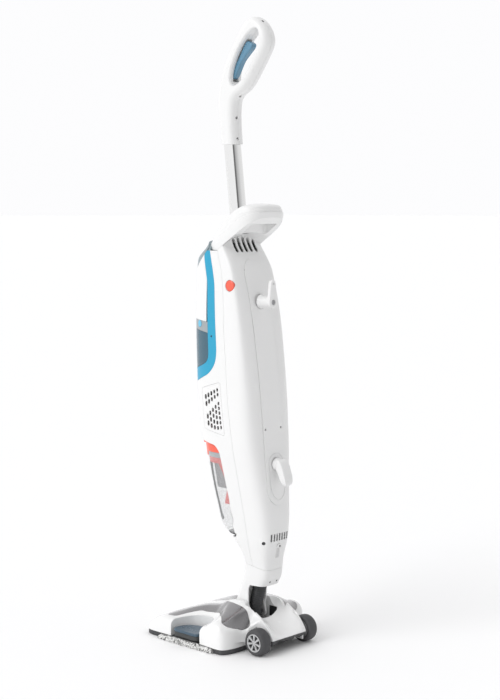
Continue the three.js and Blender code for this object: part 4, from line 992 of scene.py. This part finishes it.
stations = [-144, -143, -142, -140.5, -138.5, -136, -133, -129, -125] + [-121 + 4 * k for k in range(43)]
stations += [50 + 2 * k for k in range(45)]
flank = [1, 0.994, 0.98, 0.96, 0.93, 0.9, 0.86, 0.82, 0.77, 0.72, 0.67, 0.62, 0.57, 0.52, 0.46, 0.4, 0.34,
         0.28, 0.21, 0.14, 0.07]
middle_columns = [46, 44.5, 43, 41.5, 40, 38, 35.5, 33, 30, 26, 22, 18, 13, 8, 4, 0]


def head_block(inset, base, lift=0.0):
    rings = []
    for station in stations:
        y = clamp(station, -143.5 + inset, 138 - inset)
        half = plan_half(station)
        shrink = (half - inset) / half
        right = [(half * shrink, base)]
        for x in [46 + f * (half - 46) for f in flank] + middle_columns:
            right.append((x * shrink, max(head_top(x, station) - inset, base + 1)))
        left = [(-x, z) for x, z in reversed(right[:-1])]
        rings.append([(x, y, z + lift) for x, z in right + left])
    return loft(rings)


def arches(grow):
    left = plus(bar((51.5 - grow, WHEEL_Y, WHEEL_Z), (130, WHEEL_Y, WHEEL_Z), WHEEL_Z + 2 + grow, 72),
                cuboid((51.5 - grow, 130), (79.5 - grow, 150), (-5, 20 + grow)))
    return plus(left, mirrored(left))


def bay(grow):
    points = [(130, -68 - grow), (92 - grow, -67 - grow), (68 - grow, -56 - grow), (57 - grow, -36),
              (57 - grow, -14), (66 - grow, 4 + grow), (80, 12 + grow), (130, 12 + grow)]
    left = prism(rounded(points, 12, 6), "z", -10, 90)
    return plus(left, mirrored(left))


def neck_slot(grow):
    points = [(12 - grow, 130), (9 - grow, 60), (14 - grow, 41 - grow), (76, 41 - grow), (80, 52), (80, 130)]
    return side(points, -(29.5 + grow), 29.5 + grow)


SILVER_OUTLINE = [(60, -104), (88, -99), (97, -92), (92, -78), (60, -66), (46, -46), (46, -14), (55, 9),
                  (64, 17), (78, 33), (91, 48), (104, 60), (100, 69), (90, 75.5), (78, 79), (67, 84),
                  (57, 89), (52, 86), (50, 74), (48, 44), (43, 22), (34, 6), (15, -24), (16, -70), (26, -94)]
silver_line = spaced(rounded(SILVER_OUTLINE, 8, 6), 2.5)
block = head_block(0, HEAD_BASE)
arch_cut = arches(0)
head_outer = minus(block, bay(0), neck_slot(0), arch_cut)
web = cuboid((32, 130), (74, 150), (24, 90))
head_inner = minus(head_block(3, HEAD_BASE - 5), bay(2.6), neck_slot(3), arches(2.5), web, mirrored(web))
panel_bed = minus(prism(silver_line, "z", 0, 120), moved(block, z=-1.5))
head_shell = minus(head_outer, head_inner, cuboid((-16, 16), (30, 72), (20, 60)),
                   bar((-45, PIVOT_Y, PIVOT_Z), (45, PIVOT_Y, PIVOT_Z), 4.3, 40),
                   bar((-60, WHEEL_Y, WHEEL_Z), (60, WHEEL_Y, WHEEL_Z), 3.3, 32), panel_bed,
                   mirrored(panel_bed), cuboid((-60, 60), (131, 150), (0, 26)))
show("head_housing", head_shell, SHELL, "head_shell", sharp=38)
silver = minus(cross(moved(block, z=0.2), prism(grown(silver_line, -GAP), "z", 0, 120)), moved(block, z=-1.1),
               bay(0.4), neck_slot(0.5), arches(0.5))
show_both("silver_panel", silver, SILVER, "head_panel", sharp=38)

shade = cross(cuboid((-29.4, -28.8), (60, 79), (46, 66)), neck_slot(0.2))
show("slot_shade_right", shade, SHADE_BLACK, body="head")
show("slot_shade_left", mirrored(shade), SHADE_BLACK, body="head")

sole_side = ([(plan_half(y) - 1.2, max(y, -142.3)) for y in stations if y < 79]
             + [(plan_half(79.2) - 1.2, 79.2)])
sole_plan = sole_side + [(-x, y) for x, y in reversed(sole_side)]
sole = minus(prism(sole_plan, "z", 1, 9.7), cuboid((-130, 130), (-97, 50), (-5, 6.6)),
             cuboid((108.5, 130), (-97, 50), (-5, 20)), cuboid((-130, -108.5), (-97, 50), (-5, 20)),
             cuboid((-84, 84), (-128, -114), (-5, 40)), cuboid((-16, 16), (30, 72), (0, 40)))
wave = [(-46 + 2 * k, 19 + 1.3 * math.sin(k * 0.55) + (2.4 if 8 < k < 16 or 30 < k < 38 else 0))
        for k in range(47)]
strip = prism([(x, max(z, 17.5)) for x, z in wave] + [(46, 25.7), (-46, 25.7)], "y", 131.3, 137)
sole = plus(sole, cuboid((-44, 44), (74, 90.5), (1, 22)), cuboid((-44, 44), (88, 132), (20, 22)), strip)
show("sole", sole, DARK, "sole_plate")

# ------------------------------------------------------------------ foot tabs
tab_line = [(115.5, -60), (96, -62), (80, -55), (69, -41), (66, -20), (72, -4), (84, 5), (115.5, 6)]
for name, turn in (("left", lambda o: o), ("right", mirrored)):
    top = prism(spaced(rounded(tab_line, 9, 5), 2.5), "z", 21.5, 27, 1.5, 4)
    low = prism(grown(spaced(rounded(tab_line, 9, 5), 2.5), -0.8), "z", 13, 21.3)
    ribs = [cuboid((113.2, 114.2), (-50 + 6 * k, -47.5 + 6 * k), (13.2, 21)) for k in range(9)]
    show(f"foot_tab_top_{name}", turn(top), TAB, f"foot_tab_{name}", sharp=40)
    show(f"foot_tab_skirt_{name}", turn(plus(low, *ribs)), DARK_SKIRT_AND_SHADE, body=f"pedal_{name}")

# ------------------------------------------------------------------ wheels
tyre_profile = [(-12, 17.5), (-12, 22), (-11.4, 23.6), (-10, 24.8), (-8, 25.35), (-5, 25.5), (2, 25.5),
                (5, 25.2), (8, 24.3), (10.2, 22.6), (11.3, 20.6), (11.5, 19), (11.5, 17.5)]
disc_profile = [(-8, 17.2), (11, 17.2), (11.5, 16.7), (11.5, 15.2), (11, 14.6), (8, 14.5), (8, 5), (11, 4.4),
                (11.5, 3.6), (11.7, 0.2)]
for name, sign in (("left", 1), ("right", -1)):
    tyre = minus(turned(tyre_profile, (0, 0, 0), (1, 0, 0), 112), bar((-20, 0, 0), (20, 0, 0), 17.5, 96))
    spokes = []
    for k in range(7):
        turn = 2 * math.pi * k / 7
        spoke = prism([(-1.3, 3.2), (1.3, 3.2), (2.3, 15), (-2.3, 15)], "x", 7.4, 11, 0.5, 2)
        spoke.data.transform(Matrix.Rotation(turn, 4, "X"))
        spokes.append(spoke)
    disc = minus(plus(turned(disc_profile, (0, 0, 0), (1, 0, 0), 96), *spokes),
                 bar((-12, 0, 0), (5, 0, 0), 3.3, 32))
    # A near-black disc in the hub's recess behind the spokes: painted shade.
    hub_recess_shade = minus(bar((7.6, 0, 0), (8.15, 0, 0), 14.4, 72), bar((7, 0, 0), (9, 0, 0), 5.2, 40))
    for label, piece, material, node in (("tyre_ring", tyre, TYRE, "tyre"), ("wheel_hub", disc, HUB, "hub")):
        placed = moved(piece if sign > 0 else mirrored(piece), sign * WHEEL_X, WHEEL_Y, WHEEL_Z)
        show(f"{label}_{name}", placed, material, f"{node}_{name}", sharp=40)
    placed = moved(hub_recess_shade if sign > 0 else mirrored(hub_recess_shade), sign * WHEEL_X, WHEEL_Y, WHEEL_Z)
    show(f"wheel_recess_shade_{name}", placed, SHADE_BLACK, body=f"wheel_{name}")

# ------------------------------------------------------------------ chenille pad
def strand(verts, faces, start, way, length, radius, bend):
    """One soft tuft of chenille: a tapering ribbed tube with a rounded tip."""
    way = way.normalized()
    across = way.cross(Vector((0.3, 0.2, 1))).normalized()
    up = way.cross(across).normalized()
    first = len(verts)
    rings = 7
    for r in range(rings):
        t = r / (rings - 1)
        centre = start + way * length * t + bend * t * t
        size = radius * (0.8, 1.0, 0.86, 1.02, 0.85, 0.8, 0.35)[r]
        centre.z = max(centre.z, size + 0.15)
        for k in range(6):
            a = 2 * math.pi * k / 6
            verts.append(centre + (across * math.cos(a) + up * math.sin(a)) * size)
    for r in range(rings - 1):
        for k in range(6):
            j = (k + 1) % 6
            faces.append((first + r * 6 + k, first + r * 6 + j, first + (r + 1) * 6 + j,
                          first + (r + 1) * 6 + k))
    faces.append(tuple(first + k for k in range(5, -1, -1)))
    faces.append(tuple(first + (rings - 1) * 6 + k for k in range(6)))


pad_core = minus(prism(spaced(rounded([(-114, -93), (114, -93), (114, 46), (-114, 46)], 5, 4), 4), "z", 1.2,
                       8.4, 1.2, 3), cuboid((-108.8, 108.8), (-101, 54), (3.1, 20)))
verts = [Vector(v.co) for v in pad_core.data.vertices]
faces = [tuple(p.vertices) for p in pad_core.data.polygons]
for sign in (1, -1):
    for k in range(620):
        y = random.uniform(-94, 47)
        z = random.uniform(2.2, 7.5)
        out = Vector((sign, random.uniform(-0.9, 0.9), random.uniform(-0.6, 0.04)))
        start = Vector((sign * random.uniform(109.5, 115), y, z))
        length = random.uniform(5, 10.5)
        tip_low = start.z + out.normalized().z * length
        droop = Vector((0, 0, max(1.3 - tip_low,
                                  random.uniform(-3.2, -0.5)) if tip_low > 1.3 else 1.4 - tip_low))
        strand(verts, faces, start, out, length, random.uniform(1.1, 1.6), droop)
    for k in range(190):
        start = Vector((sign * random.uniform(117, 118.5), random.uniform(-66, 12), random.uniform(3, 10.5)))
        out = Vector((sign * random.uniform(0.2, 1), random.uniform(-1, 1), random.uniform(-0.7, 0.5)))
        strand(verts, faces, start, out, random.uniform(3.5, 6), random.uniform(1.0, 1.5), Vector((0, 0, -1)))
for k in range(520):
    x = random.uniform(-113, 113)
    y = random.choice((random.uniform(-95, -88),
                       random.uniform(41, 48))) if k % 3 == 0 else random.uniform(-92, 45)
    way = Vector((random.uniform(-1, 1), random.uniform(-1, 1), random.uniform(-0.05, 0.1)))
    strand(verts, faces, Vector((x, y, 1.55)), way, random.uniform(4, 7), 1.35, Vector((0, 0, 0.1)))
pad = solid(verts, faces)
pad_piece = show("chenille_pad", pad, CHENILLE, "mop_pad", sharp=70, merge=0.001)

# ------------------------------------------------------------------ pieces kept as the CAD made them
kept = {"tank_bay": DARK, "tank_cap": DARK, "container_bay": WHITE, "water_pump": DARK, "steam_hose": DARK,
        "pad_tray": DARK, "suction_duct": WHITE, "motor_housing": CASE, "suction_fan": CASE, "boiler": CASE,
        "circuit_board": BOARD, "exhaust_filter": FOAM, "pivot_pin_left": STEEL, "pivot_pin_right": STEEL,
        "axle_left": STEEL, "axle_right": STEEL}
for node, material in kept.items():
    piece = frame["nodes"][node]
    piece.data.materials.clear()
    piece.data.materials.append(material)

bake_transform(hose)
for piece in list(making.objects):
    bpy.data.objects.remove(piece)
bpy.data.collections.remove(making)

# ------------------------------------------------------------------ floor, light and air
floor_mesh = bpy.data.meshes.new("floor")
floor_edge = [(40 * math.cos(math.pi * k / 48), 40 * math.sin(math.pi * k / 48), 0) for k in range(96)]
floor_mesh.from_pydata(floor_edge, [], [tuple(range(96))])
floor = bpy.data.objects.new("floor", floor_mesh)
scene.collection.objects.link(floor)
floor_mesh.materials.append(surface("floor_paper", (0.95, 0.95, 0.95), 0.7, grain=0.02, mottle=0.004, edge=0))

world = bpy.data.worlds.new("studio")
scene.world = world
world.use_nodes = True
nodes, links = world.node_tree.nodes, world.node_tree.links
direction = nodes.new("ShaderNodeTexCoord")
split = nodes.new("ShaderNodeSeparateXYZ")
links.new(direction.outputs["Generated"], split.inputs["Vector"])
bearing = nodes.new("ShaderNodeMath")
bearing.operation = "ARCTAN2"
links.new(split.outputs["Y"], bearing.inputs[0])
links.new(split.outputs["X"], bearing.inputs[1])
around = nodes.new("ShaderNodeMapRange")
around.inputs["From Min"].default_value = -math.pi
around.inputs["From Max"].default_value = math.pi
links.new(bearing.outputs["Value"], around.inputs["Value"])
ramp = nodes.new("ShaderNodeValToRGB")
tones = ramp.color_ramp
tones.elements[0].position = 0.0
tones.elements[0].color = (0.9, 0.9, 0.9, 1)
tones.elements[1].position = 1.0
tones.elements[1].color = (0.9, 0.9, 0.9, 1)
for bearing_degrees, tone in ((-150, 1.0), (41, 1.0), (47, 0.12), (60, 0.2), (72, 0.5), (120, 0.82)):
    stop = tones.elements.new((bearing_degrees + 180) / 360)
    stop.color = (tone, tone, tone * 1.01, 1)
links.new(around.outputs["Result"], ramp.inputs["Fac"])
links.new(ramp.outputs["Color"], nodes["Background"].inputs["Color"])
nodes["Background"].inputs["Strength"].default_value = 0.98


def soft_sun(name, place, strength, softness):
    light = bpy.data.lights.new(name, "SUN")
    light.energy = strength
    light.angle = math.radians(softness)
    lamp = bpy.data.objects.new(name, light)
    scene.collection.objects.link(lamp)
    lamp.location = place
    lamp.rotation_euler = (-Vector(place)).to_track_quat("-Z", "Y").to_euler()


soft_sun("key", (2.6, -0.6, 2.0), 1.1, 40)
scene.view_settings.view_transform = "Standard"
